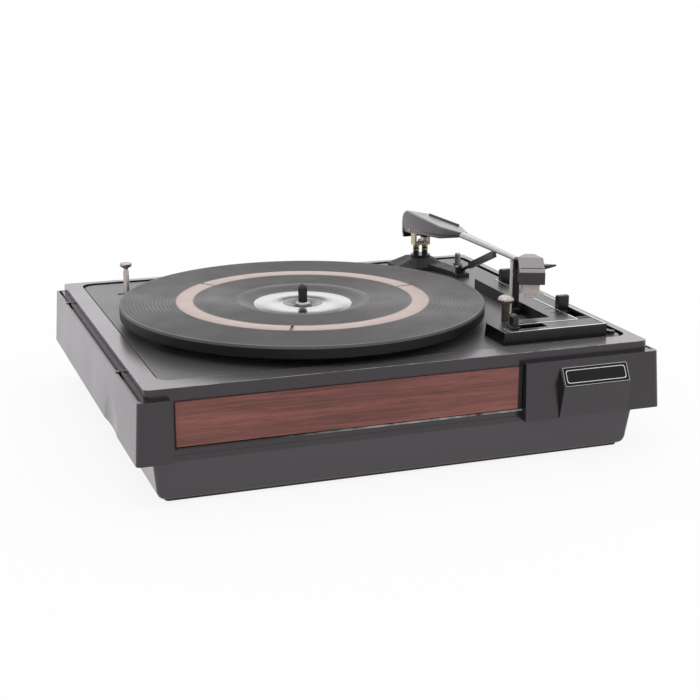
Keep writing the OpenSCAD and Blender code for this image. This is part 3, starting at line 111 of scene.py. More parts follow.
class Paint:
    """A principled material under construction, with short calls for the nodes that it uses."""

    def __init__(self, name, **sockets):
        self.material = bpy.data.materials.new(name)
        self.material.use_nodes = True
        self.tree = self.material.node_tree
        self.shader = self.tree.nodes["Principled BSDF"]
        for socket, value in sockets.items():
            self.shader.inputs[socket.replace("_", " ")].default_value = value

    def add(self, kind, inputs=(), **settings):
        node = self.tree.nodes.new(kind)
        for key, value in settings.items():
            setattr(node, key, value)
        for key, value in dict(inputs).items():
            if isinstance(value, bpy.types.NodeSocket):
                self.tree.links.new(value, node.inputs[key])
            else:
                node.inputs[key].default_value = value
        return node

    def drive(self, socket, value):
        self.tree.links.new(value, self.shader.inputs[socket])

    def place(self, stretch=(1, 1, 1)):
        coords = self.add("ShaderNodeTexCoord").outputs["Object"]
        return self.add("ShaderNodeMapping", {"Vector": coords, "Scale": stretch}).outputs["Vector"]

    def axis_place(self, at):
        """Distance in metres from a vertical axis."""
        coords = self.add("ShaderNodeTexCoord").outputs["Object"]
        flat = self.add("ShaderNodeVectorMath", {0: coords, 1: (1, 1, 0)}, operation="MULTIPLY").outputs[0]
        centre = (at[0] * MM, at[1] * MM, 0)
        return self.add("ShaderNodeVectorMath", {0: flat, 1: centre}, operation="DISTANCE").outputs["Value"]

    def noise(self, size, detail=4.0, roughness=0.55, stretch=(1, 1, 1)):
        """Cloudy noise from 0 to 1 whose blotches are about size millimetres wide."""
        inputs = {"Vector": self.place(stretch), "Scale": 1 / (size * MM), "Detail": detail}
        inputs["Roughness"] = roughness
        return self.add("ShaderNodeTexNoise", inputs).outputs["Fac"]

    def waves(self, value, pitch):
        """Ripples from 0 to 1 along a length in metres."""
        angle = self.math("MULTIPLY", value, math.tau / (pitch * MM))
        return self.band(self.math("SINE", angle), -1, 1)

    def math(self, operation, a, b=0.0):
        return self.add("ShaderNodeMath", {0: a, 1: b}, operation=operation).outputs[0]

    def band(self, value, low, high, start=0.0, end=1.0):
        inputs = {"Value": value, "From Min": low, "From Max": high, "To Min": start, "To Max": end}
        return self.add("ShaderNodeMapRange", inputs).outputs["Result"]

    def tint(self, mask, first, second):
        inputs = {0: mask, 6: first, 7: second}
        return self.add("ShaderNodeMix", inputs, data_type="RGBA").outputs[2]

    def height(self):
        """Height in metres in the mesh's own frame, which for the plinth is the height over the floor."""
        return self.add("ShaderNodeSeparateXYZ", {0: self.place()}).outputs["Z"]

    def edges(self, radius):
        """1 on the edges of the mesh, within radius millimetres, and 0 on its faces."""
        soft = self.add("ShaderNodeBevel", {"Radius": radius * MM}, samples=8).outputs["Normal"]
        plain = self.add("ShaderNodeNewGeometry").outputs["Normal"]
        match = self.add("ShaderNodeVectorMath", {0: soft, 1: plain}, operation="DOT_PRODUCT")
        return self.band(match.outputs["Value"], *EDGE_MATCH)

    def bump(self, height, depth, under=None):
        inputs = {"Height": height, "Distance": depth * MM, "Strength": 1.0}
        if under is not None:
            inputs["Normal"] = under
        return self.add("ShaderNodeBump", inputs).outputs["Normal"]


def rgb(r, g, b):
    return (r, g, b, 1.0)


def grey(level, warmth=0.0):
    return rgb(level * (1 + warmth), level, level * (1 - 0.5 * warmth))


PURPLISH = rgb(1.0, 0.93, 1.0)
DUST_AND_SHEEN_COLOUR = grey(0.45, 0.02)


def surface(
    name, dark, light, blotch, rough, grain, grain_depth, edge_wear_and_highlight=None, painted_light_tones=(), dust_and_sheen=0.0, **sockets
):
    """A finish with cloudy colour, uneven gloss and a fine grain.

    blotch and grain are the sizes of its clouds and of its grain. The edge tuple is (colour, radius, amount,
    height) for its paler edges above a height, which are wear and, along the plinth's deck edge, a painted
    highlight; the height bands are (colour, from height, to height) and are painted light on the plinth; and
    the last amount is how much paler the faces that look up become, with dust and painted sheen.
    """
    paint = Paint(name, **sockets)
    colour = paint.tint(paint.noise(blotch), dark, light)
    gloss = paint.band(paint.noise(blotch * 0.8, detail=2), *NOISE_SPAN, *rough)
    # Colour bands by height, which on the plinth are painted light.
    for other, start, end in painted_light_tones:
        colour = paint.tint(paint.band(paint.height(), start * MM, end * MM), colour, other)
    # Paler edges above a height: wear, and along the plinth's deck edge a painted highlight.
    if edge_wear_and_highlight:
        wear_and_highlight, radius, amount, above = edge_wear_and_highlight
        patchy = paint.band(paint.noise(WEAR_AND_HIGHLIGHT_PATCH, detail=6), WEAR_AND_HIGHLIGHT_LOW - amount, WEAR_AND_HIGHLIGHT_HIGH)
        mask = paint.math("MULTIPLY", paint.edges(radius), patchy)
        high_up = paint.band(paint.height(), above * MM, (above + WEAR_AND_HIGHLIGHT_FADE) * MM)
        colour = paint.tint(paint.math("MULTIPLY", mask, high_up), colour, wear_and_highlight)
    # Upward faces painted paler: dust, and painted sheen from the light above.
    if dust_and_sheen:
        normal = paint.add("ShaderNodeTexCoord").outputs["Normal"]
        up = paint.add("ShaderNodeSeparateXYZ", {0: normal}).outputs["Z"]
        cover = paint.band(paint.noise(DUST_AND_SHEEN_GRAIN, detail=6), *NOISE_SPAN, DUST_AND_SHEEN_LEAST * dust_and_sheen, dust_and_sheen)
        dust_and_sheen_mask = paint.math("MULTIPLY", paint.band(up, *DUST_AND_SHEEN_SLOPE), cover)
        colour = paint.tint(dust_and_sheen_mask, colour, DUST_AND_SHEEN_COLOUR)
    paint.drive("Base Color", colour)
    paint.drive("Roughness", gloss)
    paint.drive("Normal", paint.bump(paint.noise(grain, detail=2), grain_depth))
    return paint.material


def moulded(
    name, level, rough, wear_and_highlight_amount, coat, wear_and_highlight_above=0.0, painted_light_tones=(), wear_and_highlight=(0.3, 0.4), dust_and_sheen=0.0
):
    """Satin moulded plastic with a sheen; its paler edges, of a given level and radius, are wear and on the
    plinth a painted highlight.
    """
    edge_wear_and_highlight = (grey(wear_and_highlight[0], 0.04), wear_and_highlight[1], wear_and_highlight_amount, wear_and_highlight_above)
    return surface(
        name, grey(level * 0.85), grey(level * 1.2, 0.05), blotch=60, rough=rough, grain=0.35,
        grain_depth=0.004, edge_wear_and_highlight=edge_wear_and_highlight, painted_light_tones=painted_light_tones, dust_and_sheen=dust_and_sheen, Coat_Weight=coat,
        Coat_Roughness=sum(rough) / 2, Coat_Tint=PURPLISH, Specular_Tint=PURPLISH,
    )


def metal(name, level, warmth, rough):
    """Plated or bare metal with faint tarnish and a fine grain."""
    dark, light = grey(level * 0.8, warmth * 1.4), grey(level, warmth)
    return surface(name, dark, light, blotch=6, rough=rough, grain=0.5, grain_depth=0.003, Metallic=1.0)


def walnut(name):
    """Walnut-grain veneer: long streaks along X with darker pores."""
    paint = Paint(name, Specular_IOR_Level=0.35)
    warp = paint.noise(60, detail=2, stretch=(0.25, 1, 1))
    streak = paint.noise(9, detail=8, roughness=0.7, stretch=(0.035, 1, 1))
    fine = paint.noise(1.6, detail=5, roughness=0.65, stretch=(0.03, 1, 1))
    pores = paint.band(paint.noise(0.7, detail=3, stretch=(0.05, 1, 1)), 0.56, 0.68)
    mixed = paint.math("ADD", paint.math("MULTIPLY", streak, 0.75), paint.math("MULTIPLY", fine, 0.45))
    shade = paint.band(paint.math("ADD", mixed, paint.math("MULTIPLY", warp, 0.3)), 0.5, 1.0)
    colour = paint.tint(shade, rgb(0.045, 0.017, 0.019), rgb(0.345, 0.119, 0.094))
    colour = paint.tint(paint.math("MULTIPLY", pores, 0.4), colour, rgb(0.04, 0.016, 0.016))
    paint.drive("Base Color", colour)
    paint.drive("Roughness", paint.band(fine, 0.2, 0.8, 0.32, 0.5))
    paint.drive("Normal", paint.bump(fine, 0.03))
    return paint.material


def mat_rubber(name, at):
    """Black rubber with some dust on it and fine turned lines."""
    paint = Paint(name, Specular_IOR_Level=0.6, Specular_Tint=PURPLISH)
    ring = paint.waves(paint.axis_place(at), 0.9)
    dust_and_sheen = paint.band(paint.noise(3, detail=8, roughness=0.7), 0.5, 0.75)
    colour = paint.tint(paint.noise(40), grey(0.058), grey(0.074, 0.05))
    colour = paint.tint(paint.math("MULTIPLY", dust_and_sheen, 0.25), colour, grey(0.12, 0.04))
    paint.drive("Base Color", colour)
    paint.drive("Roughness", paint.band(paint.noise(25), *NOISE_SPAN, 0.42, 0.58))
    paint.drive("Normal", paint.bump(paint.noise(0.5), 0.01, paint.bump(ring, 0.01)))
    return paint.material


def spun_aluminium(name, at):
    """Aluminium turned on a lathe: rings of fine lines that fan the light out."""
    paint = Paint(name, Metallic=1.0, Anisotropic=0.5)
    radius = paint.axis_place(at)
    lines = paint.math("ADD", paint.waves(radius, 0.31), paint.waves(radius, 0.83))
    tarnish = paint.noise(9, detail=6)
    paint.drive("Base Color", paint.tint(tarnish, grey(0.38), grey(0.47)))
    paint.drive("Roughness", paint.band(tarnish, *NOISE_SPAN, 0.14, 0.2))
    paint.drive("Normal", paint.bump(lines, 0.004))
    turning = paint.add("ShaderNodeTangent", direction_type="RADIAL", axis="Z")
    paint.drive("Tangent", turning.outputs["Tangent"])
    return paint.material


def layered(name, pitch, dark, light, depth, rough, **sockets):
    """Stacked sheets or wound wire: ripples that follow each other upwards."""
    paint = Paint(name, **sockets)
    ripple = paint.waves(paint.height(), pitch)
    stain = paint.noise(8, detail=5)
    paint.drive("Base Color", paint.tint(paint.math("MULTIPLY", ripple, stain), dark, light))
    paint.drive("Roughness", paint.band(stain, *NOISE_SPAN, *rough))
    paint.drive("Normal", paint.bump(ripple, depth))
    return paint.material


def lip_painted_highlight(name, start, end):
    """Black moulding with a painted highlight that grows paler along X, from nothing at start to most at
    end.
    """
    paint = Paint(name, Specular_Tint=PURPLISH)
    along = paint.add("ShaderNodeSeparateXYZ", {0: paint.place()}).outputs["X"]
    patchy = paint.band(paint.noise(9, detail=5), 0.3, 0.6)
    # Painted highlight that grows along X.
    wear_and_highlight = paint.math("MULTIPLY", paint.band(along, start * MM, end * MM), patchy)
    paint.drive("Base Color", paint.tint(wear_and_highlight, grey(0.01), grey(0.34, 0.03)))
    paint.drive("Roughness", paint.band(patchy, 0, 1, 0.24, 0.36))
    paint.drive("Normal", paint.bump(paint.noise(0.4, detail=2), 0.005))
    return paint.material


def hardboard(name):
    """Dark pressed fibre board."""
    paint = Paint(name)
    fibre = paint.noise(1.2, detail=8, roughness=0.75, stretch=(1, 0.3, 1))
    paint.drive("Base Color", paint.tint(fibre, rgb(0.02, 0.014, 0.01), rgb(0.05, 0.034, 0.024)))
    paint.drive("Roughness", paint.band(fibre, *NOISE_SPAN, 0.6, 0.85))
    paint.drive("Normal", paint.bump(fibre, 0.06))
    return paint.material


AXIS = middle("spindle")

LOWER_BASE, DECK_EDGE = 30.5, 1.8
DECK_LEVEL = box("plinth_shell")[1][2]
# Painted light: the plinth's lower base painted paler and its deck's top face painted lighter.
PLINTH_PAINTED_LIGHT = [
    (grey(0.034), LOWER_BASE + 0.4, LOWER_BASE - 0.4), (grey(0.1), DECK_LEVEL - 0.4, DECK_LEVEL - 0.1),
]
# The plinth's paler band along the deck's top edge is a painted highlight as well as wear.
PLINTH_BLACK = moulded(
    "plinth_black", 0.01, (0.22, 0.28), 0.3, 0.42, wear_and_highlight_above=DECK_LEVEL - DECK_EDGE, painted_light_tones=PLINTH_PAINTED_LIGHT,
    wear_and_highlight=(0.55, 0.9),
)
DECK_PAINT = surface(
    "deck_paint", grey(0.066), grey(0.08, 0.05), 80, (0.36, 0.42), 0.5, 0.004, Specular_IOR_Level=0.85,
    Specular_Tint=PURPLISH,
)
PANEL_BLACK = moulded("panel_black", 0.006, (0.26, 0.32), 0.08, 0.05)
KNOB_BLACK = moulded("knob_black", 0.01, (0.26, 0.36), 0.05, 0.0)
# The paler tops of the arm and of the head are dust and painted sheen.
ARM_BLACK = moulded("arm_black", 0.012, (0.26, 0.32), 0.06, 0.4, dust_and_sheen=0.4)
HEAD_GREY = moulded("head_grey", 0.012, (0.3, 0.36), 0.06, 0.3, dust_and_sheen=0.4)
WELL_GREY = moulded("well_grey", 0.03, (0.2, 0.26), 0.0, 0.3)
MATT_BLACK = surface("matt_black", grey(0.008), grey(0.013), 12, (0.5, 0.7), 0.4, 0.01)
RUBBER = surface("rubber_black", grey(0.014), grey(0.024), 10, (0.6, 0.8), 0.3, 0.02)
BADGE_BLACK = surface(
    "badge_black", grey(0.004), grey(0.007), 20, (0.1, 0.18), 0.6, 0.001, Specular_IOR_Level=0.2,
)
PLATTER_PAINT = surface(
    "platter_paint", grey(0.008), grey(0.013), 50, (0.36, 0.5), 0.6, 0.008, Specular_IOR_Level=0.15,
)
MAT_RUBBER = mat_rubber("mat_rubber", AXIS)
RING_TAN = surface("ring_tan", rgb(0.46, 0.345, 0.32), rgb(0.54, 0.42, 0.39), 14, (0.4, 0.55), 0.6, 0.004)
HUB_ALUMINIUM = spun_aluminium("hub_aluminium", AXIS)
WALNUT = walnut("walnut")
# Painted highlight on the lip under the wood.
LIP_PLAIN, LIP_FADE = 70.0, 20.0
WOOD_LIP_HIGHLIGHT = lip_painted_highlight("wood_lip", box("wood_panel")[0][0] + LIP_PLAIN, middle("wood_panel")[0] + LIP_FADE)
NICKEL = metal("nickel", 0.46, 0.09, (0.34, 0.48))
# Cream colour of the rest clip: a painted highlight.
CREAM_HIGHLIGHT_METAL = surface(
    "cream_highlight_metal", rgb(0.74, 0.68, 0.58), rgb(0.84, 0.8, 0.72), 5, (0.3, 0.45), 0.4, 0.004, Metallic=0.15,
)
CHROME = metal("chrome", 0.82, 0.0, (0.06, 0.16))
STEEL = metal("steel", 0.55, 0.01, (0.25, 0.4))
DULL_ZINC = metal("dull_zinc", 0.3, 0.02, (0.4, 0.5))
SPRING_STEEL = metal("spring_steel", 0.42, 0.02, (0.25, 0.4))
BRASS = surface(
    "brass", rgb(0.36, 0.3, 0.19), rgb(0.54, 0.47, 0.33), 3, (0.2, 0.36), 0.4, 0.004, Metallic=1.0,
)
ARM_SILVER = surface("arm_silver", grey(0.4), grey(0.5), 10, (0.25, 0.38), 0.4, 0.004, Metallic=0.65)
IVORY = surface("ivory_plastic", rgb(0.58, 0.52, 0.38), rgb(0.7, 0.64, 0.5), 12, (0.35, 0.5), 0.4, 0.006)
PALE_PLASTIC = surface(
    "cartridge_pale", rgb(0.78, 0.65, 0.62), rgb(0.88, 0.77, 0.74), 6, (0.25, 0.4), 0.4, 0.004,
    Subsurface_Weight=0.25, Subsurface_Scale=0.002,
)
PHENOLIC = surface("switch_red", rgb(0.2, 0.035, 0.022), rgb(0.32, 0.065, 0.04), 4, (0.3, 0.5), 0.3, 0.01)
IRON = layered("motor_iron", 0.7, grey(0.05, 0.1), grey(0.2, 0.12), 0.12, (0.45, 0.7), Metallic=0.7)
COPPER = layered(
    "coil_copper", 0.5, rgb(0.14, 0.045, 0.018), rgb(0.5, 0.2, 0.08), 0.16, (0.25, 0.4), Metallic=0.8,
)
HARDBOARD = hardboard("bottom_board")


# Shapes: each is a pair of points and faces
STRAIGHT, CORNER_SHARE = 179.0, 0.45


def joined(*shapes):
    points, faces = [], []
    for more_points, more_faces in shapes:
        start = len(points)
        points += more_points
        faces += [[start + i for i in face] for face in more_faces]
    return points, faces


def moved(shape, matrix):
    return [matrix @ Vector(p) for p in shape[0]], shape[1]


def arc(x, y, r, start, end, steps):
    turns = [math.radians(start + (end - start) * i / steps) for i in range(steps + 1)]
    return [(x + r * math.cos(a), y + r * math.sin(a)) for a in turns]


def rounded(corners, radius, steps=4):
    """A polygon whose corners curve by about the radius, and by less where an edge is short."""
    out = []
    count = len(corners)
    for i, corner in enumerate(corners):
        here = Vector(corner)
        before, after = (Vector(corners[(i + k) % count]) - here for k in (-1, 1))
        angle = before.angle(after)
        if angle > math.radians(STRAIGHT):
            out.append(tuple(corner))
            continue
        most = CORNER_SHARE * min(before.length, after.length)
        run = min(radius / math.tan(angle / 2), most)
        first, last = here + before.normalized() * run, here + after.normalized() * run
        for k in range(steps + 1):
            t = k / steps
            out.append(tuple(first * (1 - t) ** 2 + here * 2 * t * (1 - t) + last * t ** 2))
    return out


def rectangle(x0, x1, y0, y1, radius=0.0, steps=4):
    corners = [(x0, y0), (x1, y0), (x1, y1), (x0, y1)]
    return rounded(corners, radius, steps) if radius else corners


def skinned(rows, loop=True, caps=True):
    """Faces over rows of equally many points; loop closes each row, caps close the two ends."""
    count = len(rows[0])
    points = [tuple(p) for row in rows for p in row]
    faces = []
    for j in range(len(rows) - 1):
        for i in range(count if loop else count - 1):
            k = (i + 1) % count
            faces.append([j * count + i, j * count + k, (j + 1) * count + k, (j + 1) * count + i])
    if caps:
        faces.append(list(range(count))[::-1])
        faces.append([(len(rows) - 1) * count + i for i in range(count)])
    return points, faces


def prism(outline, z0, z1):
    return skinned([[(x, y, z) for x, y in outline] for z in (z0, z1)])


def block(low, high):
    return prism(rectangle(low[0], high[0], low[1], high[1]), low[2], high[2])


def lathe(profile, at, sides=96, ring=False):
    """An outline of (radius, height) turned about a vertical axis; ring joins its end to its start."""
    rows = []
    for i in range(sides):
        a = math.tau * i / sides
        rows.append([(at[0] + r * math.cos(a), at[1] + r * math.sin(a), z) for r, z in profile])
    rows.append(rows[0])
    return skinned(rows, loop=ring, caps=False)


def swept_arc(section, at, start, end, steps):
    """A section of (radius, height) carried round a vertical axis between two angles."""
    rows = []
    for i in range(steps + 1):
        a = math.radians(start + (end - start) * i / steps)
        rows.append([(at[0] + r * math.cos(a), at[1] + r * math.sin(a), z) for r, z in section])
    return skinned(rows)


def wire(path, radius, sides):
    """A round bar along a path."""
    path = [Vector(p) for p in path]
    rows = []
    side = None
    for i, p in enumerate(path):
        ahead = (path[min(i + 1, len(path) - 1)] - path[max(i - 1, 0)]).normalized()
        if side is None:
            side = ahead.orthogonal().normalized()
        side = (side - ahead * side.dot(ahead)).normalized()
        other = ahead.cross(side)
        turns = [math.tau * k / sides for k in range(sides)]
        rows.append([p + radius * (math.cos(a) * side + math.sin(a) * other) for a in turns])
    return skinned(rows)


def helix(at, r, z0, z1, turns, steps=20):
    path = []
    count = turns * steps
    for i in range(count + 1):
        a = math.tau * i / steps
        path.append((at[0] + r * math.cos(a), at[1] + r * math.sin(a), z0 + (z1 - z0) * i / count))
    return path


# Pieces
BEVEL_STEPS, BEVEL_FROM = 2, 32.0
MERGE_DISTANCE, WELD_DISTANCE = 0.0005, 0.002


def round_edges(obj, width):
    """Rounds the edges that turn by more than BEVEL_FROM degrees."""
    bevel = obj.modifiers.new("round_edges", "BEVEL")
    bevel.width = width * MM
    bevel.segments = BEVEL_STEPS
    bevel.limit_method = "ANGLE"
    bevel.angle_limit = math.radians(BEVEL_FROM)
    bevel.harden_normals = False
    even = obj.modifiers.new("even_normals", "WEIGHTED_NORMAL")
    even.keep_sharp = True


def piece(name, shape, finish, body, stands_for=(), bevel=0.0, smooth=40):
    """A new mesh that rides on a body, if any; stands_for names the CAD nodes that it replaces."""
    mesh = bpy.data.meshes.new(name)
    mesh.from_pydata([Vector(p) * MM for p in shape[0]], [], shape[1])
    work = bmesh.new()
    work.from_mesh(mesh)
    bmesh.ops.remove_doubles(work, verts=work.verts, dist=MERGE_DISTANCE * MM)
    bmesh.ops.recalc_face_normals(work, faces=work.faces)
    work.to_mesh(mesh)
    work.free()
    mesh.materials.append(finish)
    mesh.shade_smooth()
    mesh.set_sharp_from_angle(angle=math.radians(smooth))
    obj = added(name, mesh)
    if bevel:
        round_edges(obj, bevel)
    if body:
        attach(obj, body)
    if stands_for:
        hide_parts(*([stands_for] if isinstance(stands_for, str) else stands_for))
    return obj


def carved(obj, cutter_shape):
    """Cuts a shape out of a piece for good."""
    mesh = bpy.data.meshes.new("cutter")
    mesh.from_pydata([Vector(p) * MM for p in cutter_shape[0]], [], cutter_shape[1])
    cutter = added("cutter", mesh)
    cut = obj.modifiers.new("cut", "BOOLEAN")
    cut.operation, cut.solver, cut.object = "DIFFERENCE", "EXACT", cutter
    bpy.context.view_layer.update()
    result = bpy.data.meshes.new_from_object(obj.evaluated_get(bpy.context.evaluated_depsgraph_get()))
    obj.modifiers.remove(cut)
    obj.data = result
    bpy.data.objects.remove(cutter)
    return obj


def dressed(node, finish, bevel=0.0):
    """A CAD node that stays, with its finish and, where bevel is set, rounded edges."""
    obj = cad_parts[node]
    obj.data.materials.clear()
    obj.data.materials.append(finish)
    if bevel:
        weld = obj.modifiers.new("weld", "WELD")
        weld.merge_threshold = WELD_DISTANCE * MM
        flat = obj.modifiers.new("whole_faces", "DECIMATE")
        flat.decimate_type = "DISSOLVE"
        flat.angle_limit = math.radians(1)
        round_edges(obj, bevel)
    return obj


def dress_carried_nodes():
    """Finishes of the CAD nodes that show as they are."""
    for finish, bevel, nodes in [
        (PLINTH_BLACK, 0.3, ["plinth_shell"]),
        (PLINTH_BLACK, 0.5, ["badge_block"]),
        (HARDBOARD, 0.3, ["bottom_cover"]),
        (RUBBER, 0.0, ["feet", "cord_grommets", "motor_grommets", "idler_tyre"]),
        (NICKEL, 0.0, ["cover_screws", "motor_screws", "panel_screws"]),
        (DECK_PAINT, 0.3, ["unit_plate"]),
        (PANEL_BLACK, 0.4, ["control_panel"]),
        (CHROME, 0.1, ["panel_trim"]),
        (KNOB_BLACK, 0.0, ["arm_turret", "size_feeler"]),
        (KNOB_BLACK, 0.3, ["size_lever"]),
        (KNOB_BLACK, 0.5, ["arm_rest"]),
        (KNOB_BLACK, 0.6, ["function_knob", "speed_knob", "cue_knob"]),
        (MATT_BLACK, 0.6, ["arm_pedestal"]),
        (DULL_ZINC, 0.0, ["overarm_post"]),
        (STEEL, 0.0, ["bearing_post", "thrust_ring", "idler_bracket", "motor_bracket", "motor_rotor"]),
        (STEEL, 0.0, ["tilt_pin", "stylus"]),
        (STEEL, 0.3, ["counterweight"]),
        (IRON, 0.3, ["motor_frame"]),
        (PHENOLIC, 0.4, ["power_switch"]),
        (IVORY, 0.0, ["drive_pinion", "idler_wheel", "cam_gear"]),
        (BRASS, 0.0, ["motor_pulley"]),
        (HEAD_GREY, 0.4, ["head_shell"]),
        (PALE_PLASTIC, 0.3, ["cartridge"]),
    ]:
        for node in nodes:
            dressed(node, finish, bevel)


# Platter
MAT_LOW, MAT_TOP = box("platter_mat")[0][2], box("platter_mat")[1][2]
SEAT = 0.1
RING_W, RING_GAP, RING_DIVIDERS = 13.0, 2.4, (9.0, 129.0, 247.0)
INLAY = 0.8
RING_FALL, RING_RUN = 0.15, 0.2
DISH_R, DISH_FLOOR = 48.5, 0.9
DROP, DROP_R = 2.4, 51.0
OUTER_RIBS, INNER_RIBS, RIB_STEPS = 14, 15, 8
RIB_DEPTH, INNER_SHARE = 0.7, 0.7
RIB_MARGIN, COVE_MARGIN, OUTER_MARGIN = 1.4, 3.0, 1.6
MAT_LIP, MAT_RUN, MAT_FALL = 0.9, 0.15, 0.2
PLATTER_SIDES, DISC_SIDES = 192, 128


def ribs(r0, r1, count, depth, top):
    """Rounded ribs of a turned outline between two radii."""
    total = count * RIB_STEPS
    return [
        (r0 + (r1 - r0) * i / total, top - depth * (0.5 - 0.5 * math.cos(math.tau * i / RIB_STEPS)))
        for i in range(total + 1)
    ]


def make_mat():
    """Rubber mat with two fields of ribs, a seat for the ring and a wide cove down to the disc."""
    outer, disc, ring_out = across("platter_mat"), across("hub_disc") + SEAT, across("mat_ring") + SEAT
    ring_in = ring_out - RING_W - 2 * SEAT
    under, seat = MAT_LOW - DROP, MAT_TOP - INLAY
    floor = under + DISH_FLOOR
    rise, run = MAT_TOP - floor, DISH_R - disc
    turns = [math.pi * i / 12 for i in range(1, 13)]
    cove = [(disc + run * a / math.pi, floor + rise * (0.5 - 0.5 * math.cos(a))) for a in turns]
    lip = [(outer - MAT_LIP, MAT_TOP), (outer - MAT_RUN, MAT_TOP)]
    lip += [(outer, MAT_TOP - MAT_FALL), (outer, MAT_LOW)]
    profile = [(DROP_R, MAT_LOW), (DROP_R, under), (disc, under), (disc, floor)] + cove
    inner_depth = INNER_SHARE * RIB_DEPTH
    profile += ribs(DISH_R + COVE_MARGIN, ring_in - RIB_MARGIN, INNER_RIBS, inner_depth, MAT_TOP)
    profile += [(ring_in, MAT_TOP), (ring_in, seat), (ring_out, seat), (ring_out, MAT_TOP)]
    profile += ribs(ring_out + RIB_MARGIN, outer - OUTER_MARGIN, OUTER_RIBS, RIB_DEPTH, MAT_TOP) + lip
    mat = lathe(profile, AXIS, PLATTER_SIDES, ring=True)
    piece("ribbed_mat", mat, MAT_RUBBER, "platter", "platter_mat")


def make_ring():
    """Three flat segments let into the mat."""
    out, top = across("mat_ring"), box("mat_ring")[1][2]
    inside, low = out - RING_W, MAT_TOP - INLAY
    shoulder = top - RING_FALL
    section = [
        (inside, low), (out, low), (out, shoulder), (out - RING_RUN, top), (inside + RING_RUN, top),
        (inside, shoulder),
    ]
    half_gap = math.degrees(RING_GAP / 2 / (out - RING_W / 2))
    arcs = [
        swept_arc(section, AXIS, start + half_gap, end - half_gap, 64)
        for start, end in zip(RING_DIVIDERS, RING_DIVIDERS[1:] + (RING_DIVIDERS[0] + 360,))
    ]
    piece("ring_segments", joined(*arcs), RING_TAN, "platter", "mat_ring")


WELL_R = 15.02
DISC_LIP, DISC_ROUND, DISC_RIM, HOLE_RIM, RIM_SLOPE = 0.25, 0.3, 1.0, 1.1, 0.5
POST_HOLE, HUB_R, WELL_OUT, WELL_DEPTH = 6.05, 9.0, 17.0, 6.0
RIM_T, RIM_H, RIM_BEVEL, RIM_ROUND, WEB_T = 3.0, 7.4, 0.8, 0.3, 2.4
STEP_GAP, STEP_FOOT, STEP_HEAD, WELL_GAP = 0.1, 3.0, 6.0, 0.02
CONE_GAP, CONE_LIFT, CONE_T, CONE_BRIM, CONE_HOLE = 0.1, 0.05, 0.5, 0.6, 7.0
WELL_FLOOR = MAT_TOP - WELL_DEPTH
WELL_UNDER = WELL_FLOOR - WEB_T


def make_platter():
    """Turned platter: rim, web that drops under the disc, well and hub, with a grey cone in the well."""
    r, (low, top) = across("platter"), (box("platter")[0][2], box("platter")[1][2])
    web, dish, skirt = top - WEB_T, top - DROP, top - RIM_H
    step, well = DROP_R + STEP_GAP, WELL_R - WELL_GAP
    profile = [
        (POST_HOLE, low), (HUB_R, low), (HUB_R, WELL_UNDER), (WELL_OUT, WELL_UNDER),
        (WELL_OUT, dish - WEB_T), (DROP_R + STEP_FOOT, dish - WEB_T), (DROP_R + STEP_HEAD, web),
        (r - RIM_T, web), (r - RIM_T, skirt), (r - RIM_BEVEL, skirt), (r, skirt + RIM_BEVEL),
        (r, top - RIM_ROUND), (r - RIM_ROUND, top), (step, top), (step, dish), (well, dish),
        (well, WELL_FLOOR), (POST_HOLE, WELL_FLOOR),
    ]
    platter = lathe(profile, AXIS, PLATTER_SIDES, ring=True)
    piece("turned_platter", platter, PLATTER_PAINT, "platter", "platter")
    rim, foot, brim = WELL_R - CONE_GAP, WELL_FLOOR + CONE_LIFT, dish + CONE_T
    cone = [
        (rim, foot), (rim, brim), (rim - CONE_BRIM, brim), (CONE_HOLE + CONE_BRIM, foot + CONE_T),
        (CONE_HOLE, foot),
    ]
    piece("well_cone", lathe(cone, AXIS, ring=True), WELL_GREY, "platter")


def make_disc():
    """Spun disc with a shallow rolled lip at both edges."""
    outer, (low, high) = across("hub_disc"), (box("hub_disc")[0][2] - DROP, box("hub_disc")[1][2] - DROP)
    sunk, edge, hole = high - DISC_LIP, outer - DISC_RIM, WELL_R + HOLE_RIM
    profile = [
        (WELL_R, low), (outer, low), (outer, high - DISC_ROUND), (outer - DISC_ROUND, high),
        (edge, high), (edge - RIM_SLOPE, sunk), (hole + RIM_SLOPE, sunk), (hole, high),
        (WELL_R + DISC_ROUND, high), (WELL_R, high - DISC_ROUND),
    ]
    disc = lathe(profile, AXIS, DISC_SIDES, ring=True)
    piece("spun_disc", disc, HUB_ALUMINIUM, "platter", "hub_disc")


PIN_SHOULDER, SHANK_IN, SHANK_CHAMFER = 0.3, 0.2, 0.4
COLLAR_GAP, COLLAR_OUT, COLLAR_H = 0.2, 5.8, 2.4


def make_spindle():
    """Centre pin: shank in the post, shoulder, then a pin with a domed end."""
    (_, _, low), (_, _, top) = box("spindle")
    r, shoulder = across("spindle"), box("bearing_post")[1][2] + PIN_SHOULDER
    shank = r - SHANK_IN
    dome = [(r * math.cos(a), top - r + r * math.sin(a)) for a in (math.pi / 2 * i / 8 for i in range(9))]
    tail = [(0, low), (shank - SHANK_CHAMFER, low), (shank, low + SHANK_CHAMFER), (shank, shoulder)]
    profile = tail + [(r, shoulder)] + dome
    piece("centre_pin", lathe(profile, AXIS, 48), KNOB_BLACK, "spindle", "spindle")
    foot, collar_in = box("bearing_post")[1][2], r + COLLAR_GAP
    crest = foot + COLLAR_H
    collar = [
        (collar_in, foot), (COLLAR_OUT, foot), (COLLAR_OUT, foot + 1.2), (COLLAR_OUT - 0.8, crest - 0.3),
        (collar_in + 0.5, crest), (collar_in, crest - 0.4),
    ]
    piece("post_collar", lathe(collar, AXIS, 48, ring=True), NICKEL, "deck")


